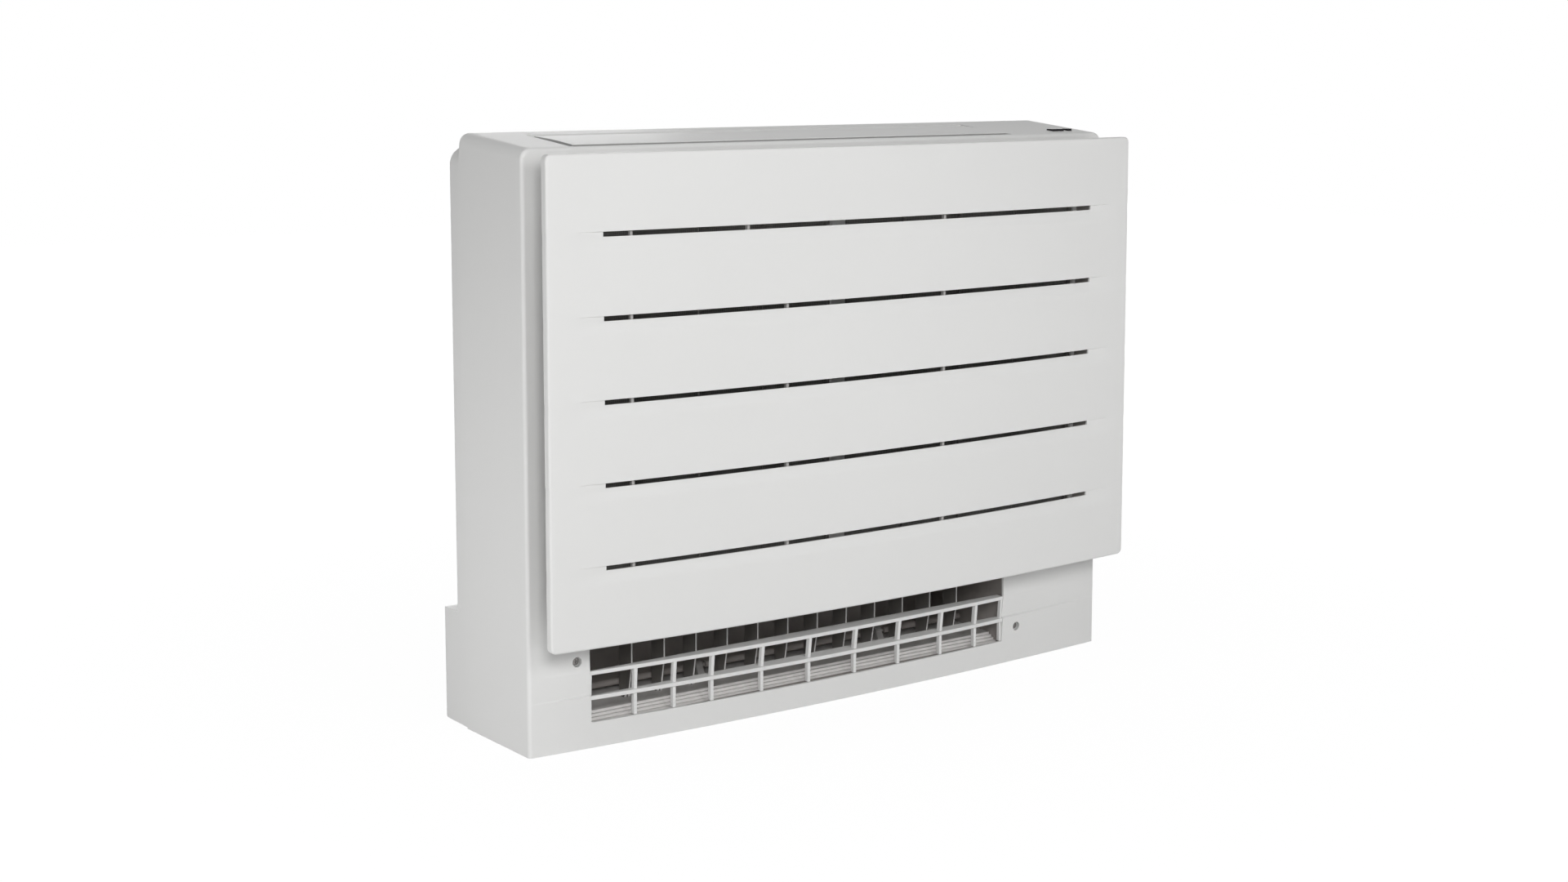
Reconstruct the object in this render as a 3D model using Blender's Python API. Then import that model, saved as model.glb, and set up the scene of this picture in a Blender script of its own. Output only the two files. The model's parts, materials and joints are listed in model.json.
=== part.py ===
"""Floor standing air conditioner, indoor unit. Metres, +Z up, front towards -Y.

The origin is at the middle of the footprint, on the floor. Run with
blender --background --python part.py, or from Blender's text editor.
"""

import math

import bmesh
import bpy
from mathutils import Matrix, Vector

# Overall sizes of the unit
HEIGHT = 0.600
WIDTH = 0.750
DEPTH = 0.238
PLASTIC = 0.003
SEAT = 0.0003
MOVING_GAP = 0.005

# How far a cutter runs past the wall that it opens, and a joined shape into its carrier
CUT_REACH = 0.010
JOIN_OVERLAP = 0.002

# Casing, the white shell that is open at the back and below
CASING_BEHIND_PANEL = 0.0625
CASING_BEFORE_WALL = 0.054
CASING_FRONT_DRAFT = 0.0035
DECK_RISE = 0.0115
CASING_FRONT_RADIUS = 0.005
CASING_END_RADIUS = 0.007
CASING_REAR_LIP = 0.022
CASING_STATIONS = 20

# Chin, the casing's bowed lower front, in two tiers below a shoulder
CHIN_FOOT_BOW = 0.0155
LOWER_TIER_TOP = 0.0525
LOWER_TIER_BOW = 0.0210
TIER_STEP = 0.0045
TIER_STEP_HEIGHT = 0.0015
UPPER_TIER_TOP = 0.0775
UPPER_TIER_BOW = 0.0215
SHOULDER_HEIGHT = 0.0280
SHOULDER_BOW = 0.0205
SHOULDER_SLOPE = 0.0060

# Seats of the two screws on the chin, each with its distance from the casing's side and its height
SCREW_SEAT_RADIUS = 0.0045
SCREW_SEAT_DEPTH = 0.0018
LEFT_SCREW_INSET = 0.0510
LEFT_SCREW_HEIGHT = 0.089
RIGHT_SCREW_INSET = 0.1295
RIGHT_SCREW_HEIGHT = 0.040

# Rear frame, the moulded back with a deeper box at its foot
REAR_SIDE_INSET = 0.0005
REAR_TOP_DROP = 0.014
REAR_BOTTOM = 0.001
REAR_FOOT_TOP = 0.117
REAR_FOOT_STEP = 0.029
REAR_RADIUS = 0.012
CHANNEL_COUNT = 4
CHANNEL_WIDTH = 0.010
CHANNEL_DEPTH = 0.0012
CHANNEL_MARGIN = 0.025

# Hanging slots and knock-outs in the rear frame
HOOK_DROP = 0.110
HOOK_HEAD_RADIUS = 0.006
HOOK_SLOT_RADIUS = 0.003
HOOK_SLOT_RISE = 0.014
KNOCKOUT_INSET = 0.070
KNOCKOUT_RADIUS = 0.030
KNOCKOUT_GROOVE = 0.0015
KNOCKOUT_DEPTH = 0.0012

# Front panel, bowed in plan and upright in section
PANEL_SIDE_INSET = 0.0005
PANEL_BOTTOM = 0.1124
PANEL_TOP_DROP = 0.0152
PANEL_BOW = 0.0171
PANEL_SHEET = 0.006
PANEL_EDGE = 0.009
PANEL_RIM = 0.003
PANEL_CORNER_RADIUS = 0.006
PANEL_EDGE_ROUND = 0.0025
PANEL_STATIONS = 20

# Intake slits across the panel, and the upright ribs behind them
SLIT_COUNT = 5
FIRST_SLIT_DROP = 0.0734
SLIT_HEIGHT = 0.0052
SLIT_END_MARGIN = 0.0235
SLIT_RECESS = 0.0028
SLIT_RECESS_HEIGHT = 0.018
SLIT_FADE = 0.036
RIB_WIDTH = 0.003
RIB_SET_BACK = 0.0035
OUTER_RIB_MARGIN = 0.0305
MIDDLE_RIB_X = -0.105
UPPER_RIB_X = -0.151
RIGHT_RIB_X = 0.0965

# Panel hinge, two arms behind its bottom edge, and the stops near its top edge
HINGE_SIDE_MARGIN = 0.041
HINGE_BEFORE_CASING = 0.018
HINGE_ABOVE_EDGE = 0.0111
HINGE_ARM_WIDTH = 0.006
HINGE_ARM_RISE = 0.006
HINGE_BOSS_RADIUS = 0.0055
HINGE_PIN_RADIUS = 0.0025
HINGE_PIN_LENGTH = 0.0065
HINGE_EAR_WIDTH = 0.005
HINGE_EAR_GAP = 0.0015
HINGE_EAR_SPREAD = 0.004
PIN_CLEARANCE = 0.0006
STOP_DROP = 0.0248
STOP_HEIGHT = 0.012
STOP_WIDTH = 0.020
STOP_SIDE_MARGIN = 0.1215

# Upper outlet, in the deck, with its flap
FLAP_LEFT_MARGIN = 0.0615
FLAP_RIGHT_MARGIN = 0.1335
FLAP_FRONT_MARGIN = 0.0105
FLAP_DEPTH = 0.0725
FLAP_BARREL_RADIUS = 0.006
FLAP_THICKNESS = 0.003
FLAP_RAISE = 0.0012
FLAP_BEVEL = 0.001
UPPER_DUCT_DEPTH = 0.062
UPPER_DUCT_CURVE = 0.018
UPPER_VANE_COUNT = 6
UPPER_VANE_HEIGHT = 0.026

# Lower outlet, off centre, with its grille
OUTLET_LEFT_MARGIN = 0.0645
OUTLET_RIGHT_MARGIN = 0.1505
OUTLET_BOTTOM = 0.026
OUTLET_TOP = 0.103
GRILLE_STATIONS = 16
BAR_HEIGHT = 0.0042
BAR_SET_BACK = 0.0002
BAR_BEFORE_FRONT = 0.003
END_POST_WIDTH = 0.0025
END_POST_DEPTH = 0.005
POST_WIDTH = 0.0045
POST_DEPTH = 0.009
POST_SET_BACK = 0.001
CELL_WIDTHS = (0.051, 0.044, 0.044, 0.060, 0.059, 0.060, 0.059, 0.060, 0.051, 0.040)

# Dark duct behind the grille, and the grey floor in it, which steps up from the sill
DUCT_MARGIN = 0.004
DUCT_SIDE_ROOM = 0.002
DUCT_BEFORE_REAR = 0.007
DUCT_CURVE = 0.020
FLOOR_TOP = 0.0315
FLOOR_SHEET = 0.0025
FLOOR_STEPS = 4
FLOOR_STEPS_DEPTH = 0.016

# Guide vanes, which stand in the lower outlet behind the grille
VANE_COUNT = 12
VANE_LEFT_MARGIN = 0.066
VANE_RIGHT_MARGIN = 0.0374
VANE_THICKNESS = 0.0016
VANE_BEHIND_BARS = 0.0255
VANE_DEPTH = 0.024
VANE_LEAN = 0.007
VANE_LEAN_HEIGHT = 0.035
VANE_FOOT_HEIGHT = 0.008
VANE_FOOT_WIDTH = 0.008

# Damper blade, which lies open above the floor of the lower duct
DAMPER_BEHIND_VANES = 0.014
DAMPER_ABOVE_FLOOR = 0.009
DAMPER_BEFORE_BACK = 0.008
DAMPER_THICKNESS = 0.0025
DAMPER_BARREL_RADIUS = 0.0035
DAMPER_PIN_RADIUS = 0.002
BRACKET_WIDTH = 0.008
BRACKET_HEAD_RADIUS = 0.005
BRACKET_FOOT = 0.0098
BRACKET_CELLS = (3, 7)

# Intake behind the panel
INTAKE_BOTTOM_MARGIN = 0.0276
INTAKE_BELOW_DUCT = 0.010
INTAKE_MULLION = 0.018
FILTER_FRAME = 0.010
FILTER_DEPTH = 0.004
FILTER_MESH = 0.0012
FILTER_LAP = 0.006
FILTER_RIB = 0.003
FILTER_RIB_COLUMNS = 4
FILTER_RIB_ROWS = 5
COIL_DEPTH = 0.026
COIL_GROOVES = 14
COIL_GROOVE_DEPTH = 0.0015
COIL_END_PLATE = 0.010
INNER_FRAME_THICKNESS = 0.003

# Windows of the display and of the receiver, on the deck, placed from the casing's right side
DISPLAY_INSET = 0.0385
DISPLAY_WIDTH = 0.017
RECEIVER_INSET = 0.025
RECEIVER_WIDTH = 0.008
WINDOW_FRONT_MARGIN = 0.0195
WINDOW_DEPTH = 0.012
WINDOW_THICKNESS = 0.0016
WINDOW_PROUD = 0.0004

COLOURS = {
    "white_plastic": ((0.86, 0.86, 0.85), 0.38, 0.0),
    "grey_plastic": ((0.47, 0.46, 0.45), 0.50, 0.0),
    "dark_plastic": ((0.10, 0.095, 0.09), 0.55, 0.0),
    "filter_mesh": ((0.20, 0.20, 0.20), 0.70, 0.0),
    "coil_metal": ((0.70, 0.71, 0.72), 0.35, 1.0),
    "dark_window": ((0.03, 0.03, 0.03), 0.12, 0.0),
}

# Worked-out places: the casing and the rear frame
CASING_HALF_WIDTH = WIDTH / 2
CASING_REAR_Y = DEPTH / 2 - CASING_BEFORE_WALL
CASING_FRONT_Y = -DEPTH / 2 + CASING_BEHIND_PANEL
CASING_DEPTH = CASING_REAR_Y - CASING_FRONT_Y
CASING_INNER_FRONT_Y = CASING_FRONT_Y + PLASTIC
FRONT_HALF_WIDTH = CASING_HALF_WIDTH - CASING_FRONT_DRAFT
REAR_HALF_WIDTH = CASING_HALF_WIDTH - REAR_SIDE_INSET
REAR_PLANE_Y = DEPTH / 2 - REAR_FOOT_STEP
REAR_TOP = HEIGHT - REAR_TOP_DROP

# Worked-out places: the panel
PANEL_HALF_WIDTH = FRONT_HALF_WIDTH - PANEL_SIDE_INSET
PANEL_END_Y = -DEPTH / 2 + PANEL_BOW
PANEL_TOP = HEIGHT - PANEL_TOP_DROP
SLIT_PITCH = (PANEL_TOP - FIRST_SLIT_DROP - PANEL_BOTTOM) / SLIT_COUNT
SLIT_HALF_LENGTH = PANEL_HALF_WIDTH - SLIT_FADE - SLIT_END_MARGIN
PANEL_HINGE_X = PANEL_HALF_WIDTH - HINGE_SIDE_MARGIN
PANEL_HINGE_Y = CASING_FRONT_Y - HINGE_BEFORE_CASING
PANEL_HINGE_Z = PANEL_BOTTOM + HINGE_ABOVE_EDGE

# Worked-out places: the upper outlet
FLAP_LEFT = -FRONT_HALF_WIDTH + FLAP_LEFT_MARGIN
FLAP_RIGHT = FRONT_HALF_WIDTH - FLAP_RIGHT_MARGIN
FLAP_FRONT_Y = CASING_FRONT_Y + FLAP_FRONT_MARGIN
FLAP_AXIS_Y = FLAP_FRONT_Y + FLAP_DEPTH
FLAP_REAR_Y = FLAP_AXIS_Y + FLAP_BARREL_RADIUS
UPPER_DUCT_FLOOR = HEIGHT - UPPER_DUCT_DEPTH

# Worked-out places: the lower outlet
OUTLET_LEFT = -FRONT_HALF_WIDTH + OUTLET_LEFT_MARGIN
OUTLET_RIGHT = FRONT_HALF_WIDTH - OUTLET_RIGHT_MARGIN
BAR_BACK_Y = CASING_FRONT_Y - BAR_BEFORE_FRONT
DUCT_LEFT = OUTLET_LEFT - DUCT_SIDE_ROOM
DUCT_RIGHT = OUTLET_RIGHT + DUCT_SIDE_ROOM
DUCT_BACK_Y = CASING_REAR_Y - DUCT_BEFORE_REAR
DUCT_BOTTOM = OUTLET_BOTTOM - DUCT_MARGIN
DUCT_TOP = OUTLET_TOP + DUCT_MARGIN
VANE_FRONT_Y = BAR_BACK_Y + VANE_BEHIND_BARS
VANE_BACK_Y = VANE_FRONT_Y + VANE_DEPTH
DAMPER_AXIS_Y = VANE_BACK_Y + DAMPER_BEHIND_VANES
DAMPER_AXIS_Z = FLOOR_TOP + DAMPER_ABOVE_FLOOR
DAMPER_END_Y = DUCT_BACK_Y - DAMPER_BEFORE_BACK

# Worked-out places: the intake behind the panel
INTAKE_HALF_WIDTH = PANEL_HINGE_X
INTAKE_BOTTOM = PANEL_BOTTOM + INTAKE_BOTTOM_MARGIN
INTAKE_TOP = UPPER_DUCT_FLOOR - INTAKE_BELOW_DUCT


def deck_z(y):
    """Height of the deck's surface at a depth y."""
    return HEIGHT - (CASING_REAR_Y - y) * DECK_RISE / CASING_DEPTH


def side_x(y):
    """Half the casing's width at a depth y, which narrows towards the front."""
    return CASING_HALF_WIDTH - CASING_FRONT_DRAFT * (CASING_REAR_Y - y) / CASING_DEPTH


def bow(x, half_width, rise):
    """How far a bowed front stands out at x."""
    return rise * (1 - (x / half_width) ** 2)


def chin_levels(drop=0.0):
    """Heights of the chin's edges, each with how far the chin bows out there.

    The drop lowers the shoulder, so that the wall under it keeps its thickness.
    """
    shoulder = UPPER_TIER_TOP + SHOULDER_HEIGHT - drop
    return (
        (0.0, CHIN_FOOT_BOW),
        (LOWER_TIER_TOP, LOWER_TIER_BOW),
        (LOWER_TIER_TOP + TIER_STEP_HEIGHT, LOWER_TIER_BOW - TIER_STEP),
        (UPPER_TIER_TOP, UPPER_TIER_BOW),
        (shoulder, SHOULDER_BOW),
        (shoulder + SHOULDER_SLOPE, 0.0),
    )


def chin_y(x, z, drop=0.0):
    """The casing's front surface at x and z, below the panel."""
    levels = chin_levels(drop)
    rise = levels[0][1] if z <= 0 else 0.0
    for (low, low_rise), (high, high_rise) in zip(levels, levels[1:]):
        if low < z <= high:
            rise = low_rise + (high_rise - low_rise) * (z - low) / (high - low)
    return CASING_FRONT_Y - bow(x, FRONT_HALF_WIDTH, rise)


def chin_profile(x, low, high, set_back, drop=0.0):
    """The chin in section between two heights, set back by a distance, from below upwards."""
    inner = [level for level, _ in chin_levels(drop) if low < level < high]
    return [(chin_y(x, z, drop) + set_back, z) for z in (low, *inner, high)]


def panel_y(x):
    """The panel's front surface at x, without its grooves."""
    return PANEL_END_Y - bow(x, PANEL_HALF_WIDTH, PANEL_BOW)


def arc(centre, radius, start, end, steps):
    """Points of an arc from one angle to another, in degrees."""
    angles = [math.radians(start + (end - start) * i / steps) for i in range(steps + 1)]
    return [
        (centre[0] + radius * math.cos(a), centre[1] + radius * math.sin(a))
        for a in angles
    ]


def clear_scene():
    for old in list(bpy.data.objects):
        bpy.data.objects.remove(old, do_unlink=True)


def make_collection(name):
    made = bpy.data.collections.new(name)
    bpy.context.scene.collection.children.link(made)
    return made


def make_material(name):
    colour, roughness, metallic = COLOURS[name]
    material = bpy.data.materials.new(name)
    material.use_nodes = True
    shader = material.node_tree.nodes["Principled BSDF"]
    shader.inputs["Base Color"].default_value = (*colour, 1)
    shader.inputs["Roughness"].default_value = roughness
    shader.inputs["Metallic"].default_value = metallic
    return material


def object_of(name, shape, collection=None):
    """An object from a bmesh, with its faces turned outwards."""
    bmesh.ops.recalc_face_normals(shape, faces=shape.faces)
    mesh = bpy.data.meshes.new(name)
    shape.to_mesh(mesh)
    shape.free()
    made = bpy.data.objects.new(name, mesh)
    (collection or PARTS).objects.link(made)
    if collection is CUTTERS:
        made.hide_render = True
        made.display_type = "WIRE"
    return made


def box(name, low, high, collection=None):
    """A box between two corners."""
    shape = bmesh.new()
    bmesh.ops.create_cube(shape, size=1)
    low, high = Vector(low), Vector(high)
    place = Matrix.Translation((low + high) / 2) @ Matrix.Diagonal((*(high - low), 1))
    bmesh.ops.transform(shape, matrix=place, verts=shape.verts)
    return object_of(name, shape, collection)


def rod(name, start, end, radius, collection=None, sides=16):
    """A round bar between two points."""
    start, end = Vector(start), Vector(end)
    shape = bmesh.new()
    bmesh.ops.create_cone(
        shape,
        cap_ends=True,
        segments=sides,
        radius1=radius,
        radius2=radius,
        depth=(end - start).length,
    )
    turn = (end - start).to_track_quat("Z", "Y").to_matrix().to_4x4()
    place = Matrix.Translation((start + end) / 2) @ turn
    bmesh.ops.transform(shape, matrix=place, verts=shape.verts)
    return object_of(name, shape, collection)


ALONG_X = Matrix(((0, 0, 1, 0), (1, 0, 0, 0), (0, 1, 0, 0), (0, 0, 0, 1)))
ALONG_Y = Matrix(((1, 0, 0, 0), (0, 0, -1, 0), (0, 1, 0, 0), (0, 0, 0, 1)))
ALONG_Z = Matrix.Identity(4)


def extrusion(name, outline, start, end, direction, collection=None):
    """A flat outline given length along an axis: a filled curve, made a mesh so that it can be cut."""
    curve = bpy.data.curves.new(name, "CURVE")
    curve.dimensions = "2D"
    curve.fill_mode = "BOTH"
    curve.extrude = abs(end - start) / 2
    spline = curve.splines.new("POLY")
    spline.points.add(len(outline) - 1)
    for point, (a, b) in zip(spline.points, outline):
        point.co = (a, b, 0, 1)
    spline.use_cyclic_u = True
    drawn = bpy.data.objects.new(name, curve)
    PARTS.objects.link(drawn)
    shift = Matrix.Translation((0, 0, (start + end) / 2))
    if direction is ALONG_Y:
        shift = Matrix.Translation((0, 0, -(start + end) / 2))
    bpy.context.view_layer.update()
    evaluated = drawn.evaluated_get(bpy.context.evaluated_depsgraph_get())
    mesh = bpy.data.meshes.new_from_object(evaluated)
    bpy.data.objects.remove(drawn, do_unlink=True)
    shape = bmesh.new()
    shape.from_mesh(mesh)
    bpy.data.meshes.remove(mesh)
    bmesh.ops.remove_doubles(shape, verts=shape.verts, dist=1e-5)
    bmesh.ops.transform(shape, matrix=direction @ shift, verts=shape.verts)
    return object_of(name, shape, collection)


def combine(target, other, operation):
    """One Boolean step, applied at once, after which the other object is gone."""
    modifier = target.modifiers.new(operation.lower(), "BOOLEAN")
    modifier.operation = operation
    modifier.object = other
    modifier.solver = "EXACT"
    bpy.context.view_layer.update()
    evaluated = target.evaluated_get(bpy.context.evaluated_depsgraph_get())
    mesh = bpy.data.meshes.new_from_object(evaluated)
    target.modifiers.clear()
    old = target.data
    target.data = mesh
    mesh.name = old.name
    bpy.data.meshes.remove(old)
    bpy.data.objects.remove(other, do_unlink=True)
    return target


def cut(target, *cutters):
    for cutter in cutters:
        combine(target, cutter, "DIFFERENCE")
    return target


def join(target, *others):
    for other in others:
        combine(target, other, "UNION")
    return target


def keep_inside(target, limit):
    return combine(target, limit, "INTERSECT")


def finish(made, material, smooth_degrees=35):
    """Gives a part its material and smooth shading between sharp edges."""
    made.data.materials.clear()
    made.data.materials.append(MATERIALS[material])
    made.data.shade_smooth()
    made.data.set_sharp_from_angle(angle=math.radians(smooth_degrees))
    return made


def rounded_rectangle(low_a, low_b, high_a, high_b, radius, steps=4):
    """Outline of a rectangle with round corners."""
    corners = (
        ((high_a - radius, low_b + radius), -90),
        ((high_a - radius, high_b - radius), 0),
        ((low_a + radius, high_b - radius), 90),
        ((low_a + radius, low_b + radius), 180),
    )
    return [
        point
        for centre, start in corners
        for point in arc(centre, radius, start, start + 90, steps)
    ]


def loft(name, rings, collection=None):
    """A closed skin over a row of sections. Each end is a fan from its section's last point."""
    shape = bmesh.new()
    rows = [[shape.verts.new(point) for point in ring] for ring in rings]
    size = len(rows[0])
    for here, there in zip(rows, rows[1:]):
        for i in range(size):
            j = (i + 1) % size
            shape.faces.new((here[i], here[j], there[j], there[i]))
    bmesh.ops.triangulate(shape, faces=shape.faces)
    for end in (rows[0], rows[-1]):
        for i in range(size - 2):
            shape.faces.new((end[-1], end[i], end[i + 1]))
    return object_of(name, shape, collection)


def spread(half_width, count, edge):
    """Places across a width, with extra ones in the rounded edges."""
    inner = half_width - edge
    middle = [-inner + 2 * inner * i / count for i in range(count + 1)]
    steps = [edge * (1 - math.cos(math.radians(a))) for a in (0, 30, 60)]
    left = [-half_width + step for step in steps]
    return left + middle + [-x for x in reversed(left)]


def edge_drop(distance, radius):
    """How far a rounded edge falls back at a distance from the edge."""
    if distance >= radius:
        return 0.0
    return radius - math.sqrt(radius**2 - (radius - distance) ** 2)


def casing_section(x, wall, rounding, low, rear):
    """The casing in section at x, moved in by a wall, from the floor up the front to the rear."""
    inset = wall + rounding
    flat_y = CASING_FRONT_Y + inset
    radius = CASING_FRONT_RADIUS
    centre = (flat_y + radius, deck_z(flat_y) - inset - radius)
    chin_top = chin_levels(wall)[-1][0]
    return [
        (rear, low),
        *chin_profile(x, low, chin_top, inset, wall),
        *reversed(arc(centre, radius, 95, 180, 4)),
        (rear, deck_z(rear) - inset),
    ]


def casing_solid(name, wall, low, rear, collection=None):
    """The casing's form as one solid, made smaller all round by a wall."""
    half = FRONT_HALF_WIDTH
    radius = CASING_END_RADIUS
    rings = []
    for x in spread(half - wall, CASING_STATIONS, radius - wall / 2):
        rounding = edge_drop(half - wall - abs(x), radius - wall / 2)
        section = casing_section(x, wall, rounding, low, rear)
        widen = x / (half - wall)
        rings.append([(widen * (side_x(y) - wall), y, z) for y, z in section])
    return loft(name, rings, collection)


def make_casing():
    """The outer shell, hollow, open below and at the back under a rear lip."""
    made = casing_solid("casing", 0.0, 0.0, CASING_REAR_Y)
    inner_rear = CASING_REAR_Y - PLASTIC
    cut(made, casing_solid("casing_room", PLASTIC, -CUT_REACH, inner_rear, CUTTERS))
    room = CASING_HALF_WIDTH - PLASTIC
    back = box(
        "back_cut",
        (-room, inner_rear - CUT_REACH, -CUT_REACH),
        (room, CASING_REAR_Y + CUT_REACH, HEIGHT - CASING_REAR_LIP),
        CUTTERS,
    )
    outlet = box(
        "outlet_cut",
        (OUTLET_LEFT, CASING_FRONT_Y - UPPER_TIER_BOW - CUT_REACH, OUTLET_BOTTOM),
        (OUTLET_RIGHT, CASING_INNER_FRONT_Y + CUT_REACH, OUTLET_TOP),
        CUTTERS,
    )
    deck = box(
        "deck_cut",
        (FLAP_LEFT - MOVING_GAP, FLAP_FRONT_Y - MOVING_GAP, UPPER_DUCT_FLOOR),
        (FLAP_RIGHT + MOVING_GAP, FLAP_REAR_Y + MOVING_GAP, HEIGHT + CUT_REACH),
        CUTTERS,
    )
    cut(made, back, outlet, deck)
    for low, high in intake_bays():
        corner = (low, CASING_FRONT_Y - CUT_REACH, INTAKE_BOTTOM)
        other = (high, CASING_INNER_FRONT_Y + CUT_REACH, INTAKE_TOP)
        cut(made, box("intake_cut", corner, other, CUTTERS))
    for left, right in (display_ends(), receiver_ends()):
        corner = (left, window_front_y(), window_floor_z())
        other = (right, window_front_y() + WINDOW_DEPTH, HEIGHT + CUT_REACH)
        cut(made, box("window_cut", corner, other, CUTTERS))
    for x, z in screw_places():
        cut(made, screw_seat(x, z))
    return finish(made, "white_plastic")


def screw_places():
    """Where the two screws stand on the chin."""
    return (
        (-FRONT_HALF_WIDTH + LEFT_SCREW_INSET, LEFT_SCREW_HEIGHT),
        (FRONT_HALF_WIDTH - RIGHT_SCREW_INSET, RIGHT_SCREW_HEIGHT),
    )


def screw_seat(x, z):
    """A round recess in the chin for a screw's head."""
    front = chin_y(x, z)
    return rod(
        "screw_seat",
        (x, front - CUT_REACH, z),
        (x, front + SCREW_SEAT_DEPTH, z),
        SCREW_SEAT_RADIUS,
        CUTTERS,
    )


def intake_bays():
    """The two openings behind the panel, one for each filter."""
    half = INTAKE_MULLION / 2
    return ((-INTAKE_HALF_WIDTH, -half), (half, INTAKE_HALF_WIDTH))


def rear_outline(inset, front_y):
    """The rear frame in section, from its front edge at the top round to its front edge below."""
    radius = REAR_RADIUS - inset
    plane = REAR_PLANE_Y - inset
    foot = DEPTH / 2 - inset
    top, bottom = REAR_TOP - inset, REAR_BOTTOM + inset
    foot_top = REAR_FOOT_TOP - inset
    return [
        (front_y, bottom),
        *arc((foot - radius, bottom + radius), radius, -90, 0, 4),
        *arc((foot - radius, foot_top - radius), radius, 0, 90, 4),
        (plane, foot_top),
        *arc((plane - radius, top - radius), radius, 0, 90, 4),
        (front_y, top),
    ]


def make_rear_frame():
    """The moulded back, a tray that is open towards the front, with channels, slots and knock-outs."""
    front = CASING_REAR_Y + SEAT
    frame = extrusion(
        "rear_frame",
        rear_outline(0.0, front),
        -REAR_HALF_WIDTH,
        REAR_HALF_WIDTH,
        ALONG_X,
    )
    room = REAR_HALF_WIDTH - PLASTIC
    hollow = rear_outline(PLASTIC, front - CUT_REACH)
    cut(frame, extrusion("rear_hollow", hollow, -room, room, ALONG_X, CUTTERS))
    spacing = 2 * REAR_HALF_WIDTH / CHANNEL_COUNT
    for i in range(CHANNEL_COUNT):
        cut(frame, rear_channel(-REAR_HALF_WIDTH + spacing * (i + 0.5)))
    for side in (-1, 1):
        cut(frame, hanging_slot(side * REAR_HALF_WIDTH / 2))
        cut(frame, knockout_groove(side * (REAR_HALF_WIDTH - KNOCKOUT_INSET)))
    return finish(frame, "white_plastic")


def rear_channel(x):
    """A shallow upright channel that stiffens the back."""
    half = CHANNEL_WIDTH / 2
    outline = rounded_rectangle(
        x - half,
        REAR_FOOT_TOP + CHANNEL_MARGIN,
        x + half,
        REAR_TOP - REAR_RADIUS - CHANNEL_MARGIN,
        half * 0.98,
    )
    start, end = REAR_PLANE_Y - CHANNEL_DEPTH, REAR_PLANE_Y + CUT_REACH
    return extrusion("rear_channel", outline, start, end, ALONG_Y, CUTTERS)


def hanging_slot(x):
    """A keyhole in the back: a round hole for a screw's head below a narrow slot for its neck."""
    head_z = REAR_TOP - HOOK_DROP
    head, neck = HOOK_HEAD_RADIUS, HOOK_SLOT_RADIUS
    meet = math.degrees(math.asin(neck / head))
    outline = [
        *((x + a, head_z + b) for a, b in arc((0, 0), head, 90 + meet, 450 - meet, 12)),
        *((x + a, head_z + b) for a, b in arc((0, HOOK_SLOT_RISE), neck, 0, 180, 6)),
    ]
    start, end = REAR_PLANE_Y - PLASTIC - CUT_REACH, REAR_PLANE_Y + CUT_REACH
    return extrusion("hanging_slot", outline, start, end, ALONG_Y, CUTTERS)


def knockout_groove(x):
    """The ring-shaped groove round a knock-out for the pipes."""
    z = (REAR_BOTTOM + REAR_FOOT_TOP) / 2
    start = (x, DEPTH / 2 - KNOCKOUT_DEPTH, z)
    end = (x, DEPTH / 2 + CUT_REACH, z)
    ring = rod("knockout_groove", start, end, KNOCKOUT_RADIUS, CUTTERS, 32)
    inner = (x, DEPTH / 2 - KNOCKOUT_DEPTH - CUT_REACH, z)
    radius = KNOCKOUT_RADIUS - KNOCKOUT_GROOVE
    return cut(ring, rod("knockout", inner, (x, DEPTH / 2 + 2 * CUT_REACH, z), radius, CUTTERS, 32))


def fit_in_casing(made):
    """Trims an inner piece so that it lies against the casing's inside."""
    fit = casing_solid("casing_fit", PLASTIC + SEAT, -CUT_REACH, CASING_REAR_Y, CUTTERS)
    return keep_inside(made, fit)


def make_base_plate():
    """The plate that closes the casing below and stands on the floor."""
    wide, front = CASING_HALF_WIDTH, CASING_FRONT_Y - UPPER_TIER_BOW
    plate = box("base_plate", (-wide, front, 0.0), (wide, CASING_REAR_Y, PLASTIC))
    return finish(fit_in_casing(plate), "grey_plastic")


def slit_tops():
    return [PANEL_TOP - FIRST_SLIT_DROP - i * SLIT_PITCH for i in range(SLIT_COUNT)]


def panel_levels():
    """Heights of the panel's rows, with a close pair at the upper edge of each slit."""
    edge = PANEL_EDGE_ROUND
    steps = [edge * (1 - math.cos(math.radians(a))) for a in (0, 30, 60, 90)]
    levels = [PANEL_BOTTOM + step for step in steps]
    for top in reversed(slit_tops()):
        levels += [top - SLIT_RECESS_HEIGHT, top - SLIT_HEIGHT, top - SEAT, top]
    return levels + [PANEL_TOP - step for step in reversed(steps)]


def groove(x, z):
    """How far the surface is set back below a slit, fading out past the slit's ends."""
    past = abs(x) - SLIT_HALF_LENGTH
    fade = min(1.0, max(0.0, 1 - past / SLIT_FADE))
    for top in slit_tops():
        below = top - z
        if SEAT / 2 < below < SLIT_RECESS_HEIGHT:
            slope = 1 - max(0.0, below - SLIT_HEIGHT) / (SLIT_RECESS_HEIGHT - SLIT_HEIGHT)
            return SLIT_RECESS * fade * slope
    return 0.0


def panel_front(x, z):
    """The panel's front surface with its grooves and its rounded edges."""
    to_side = PANEL_HALF_WIDTH - abs(x)
    to_end = min(z - PANEL_BOTTOM, PANEL_TOP - z)
    rounding = edge_drop(to_side, PANEL_EDGE_ROUND) + edge_drop(to_end, PANEL_EDGE_ROUND)
    return panel_y(x) + groove(x, z) + rounding


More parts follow.
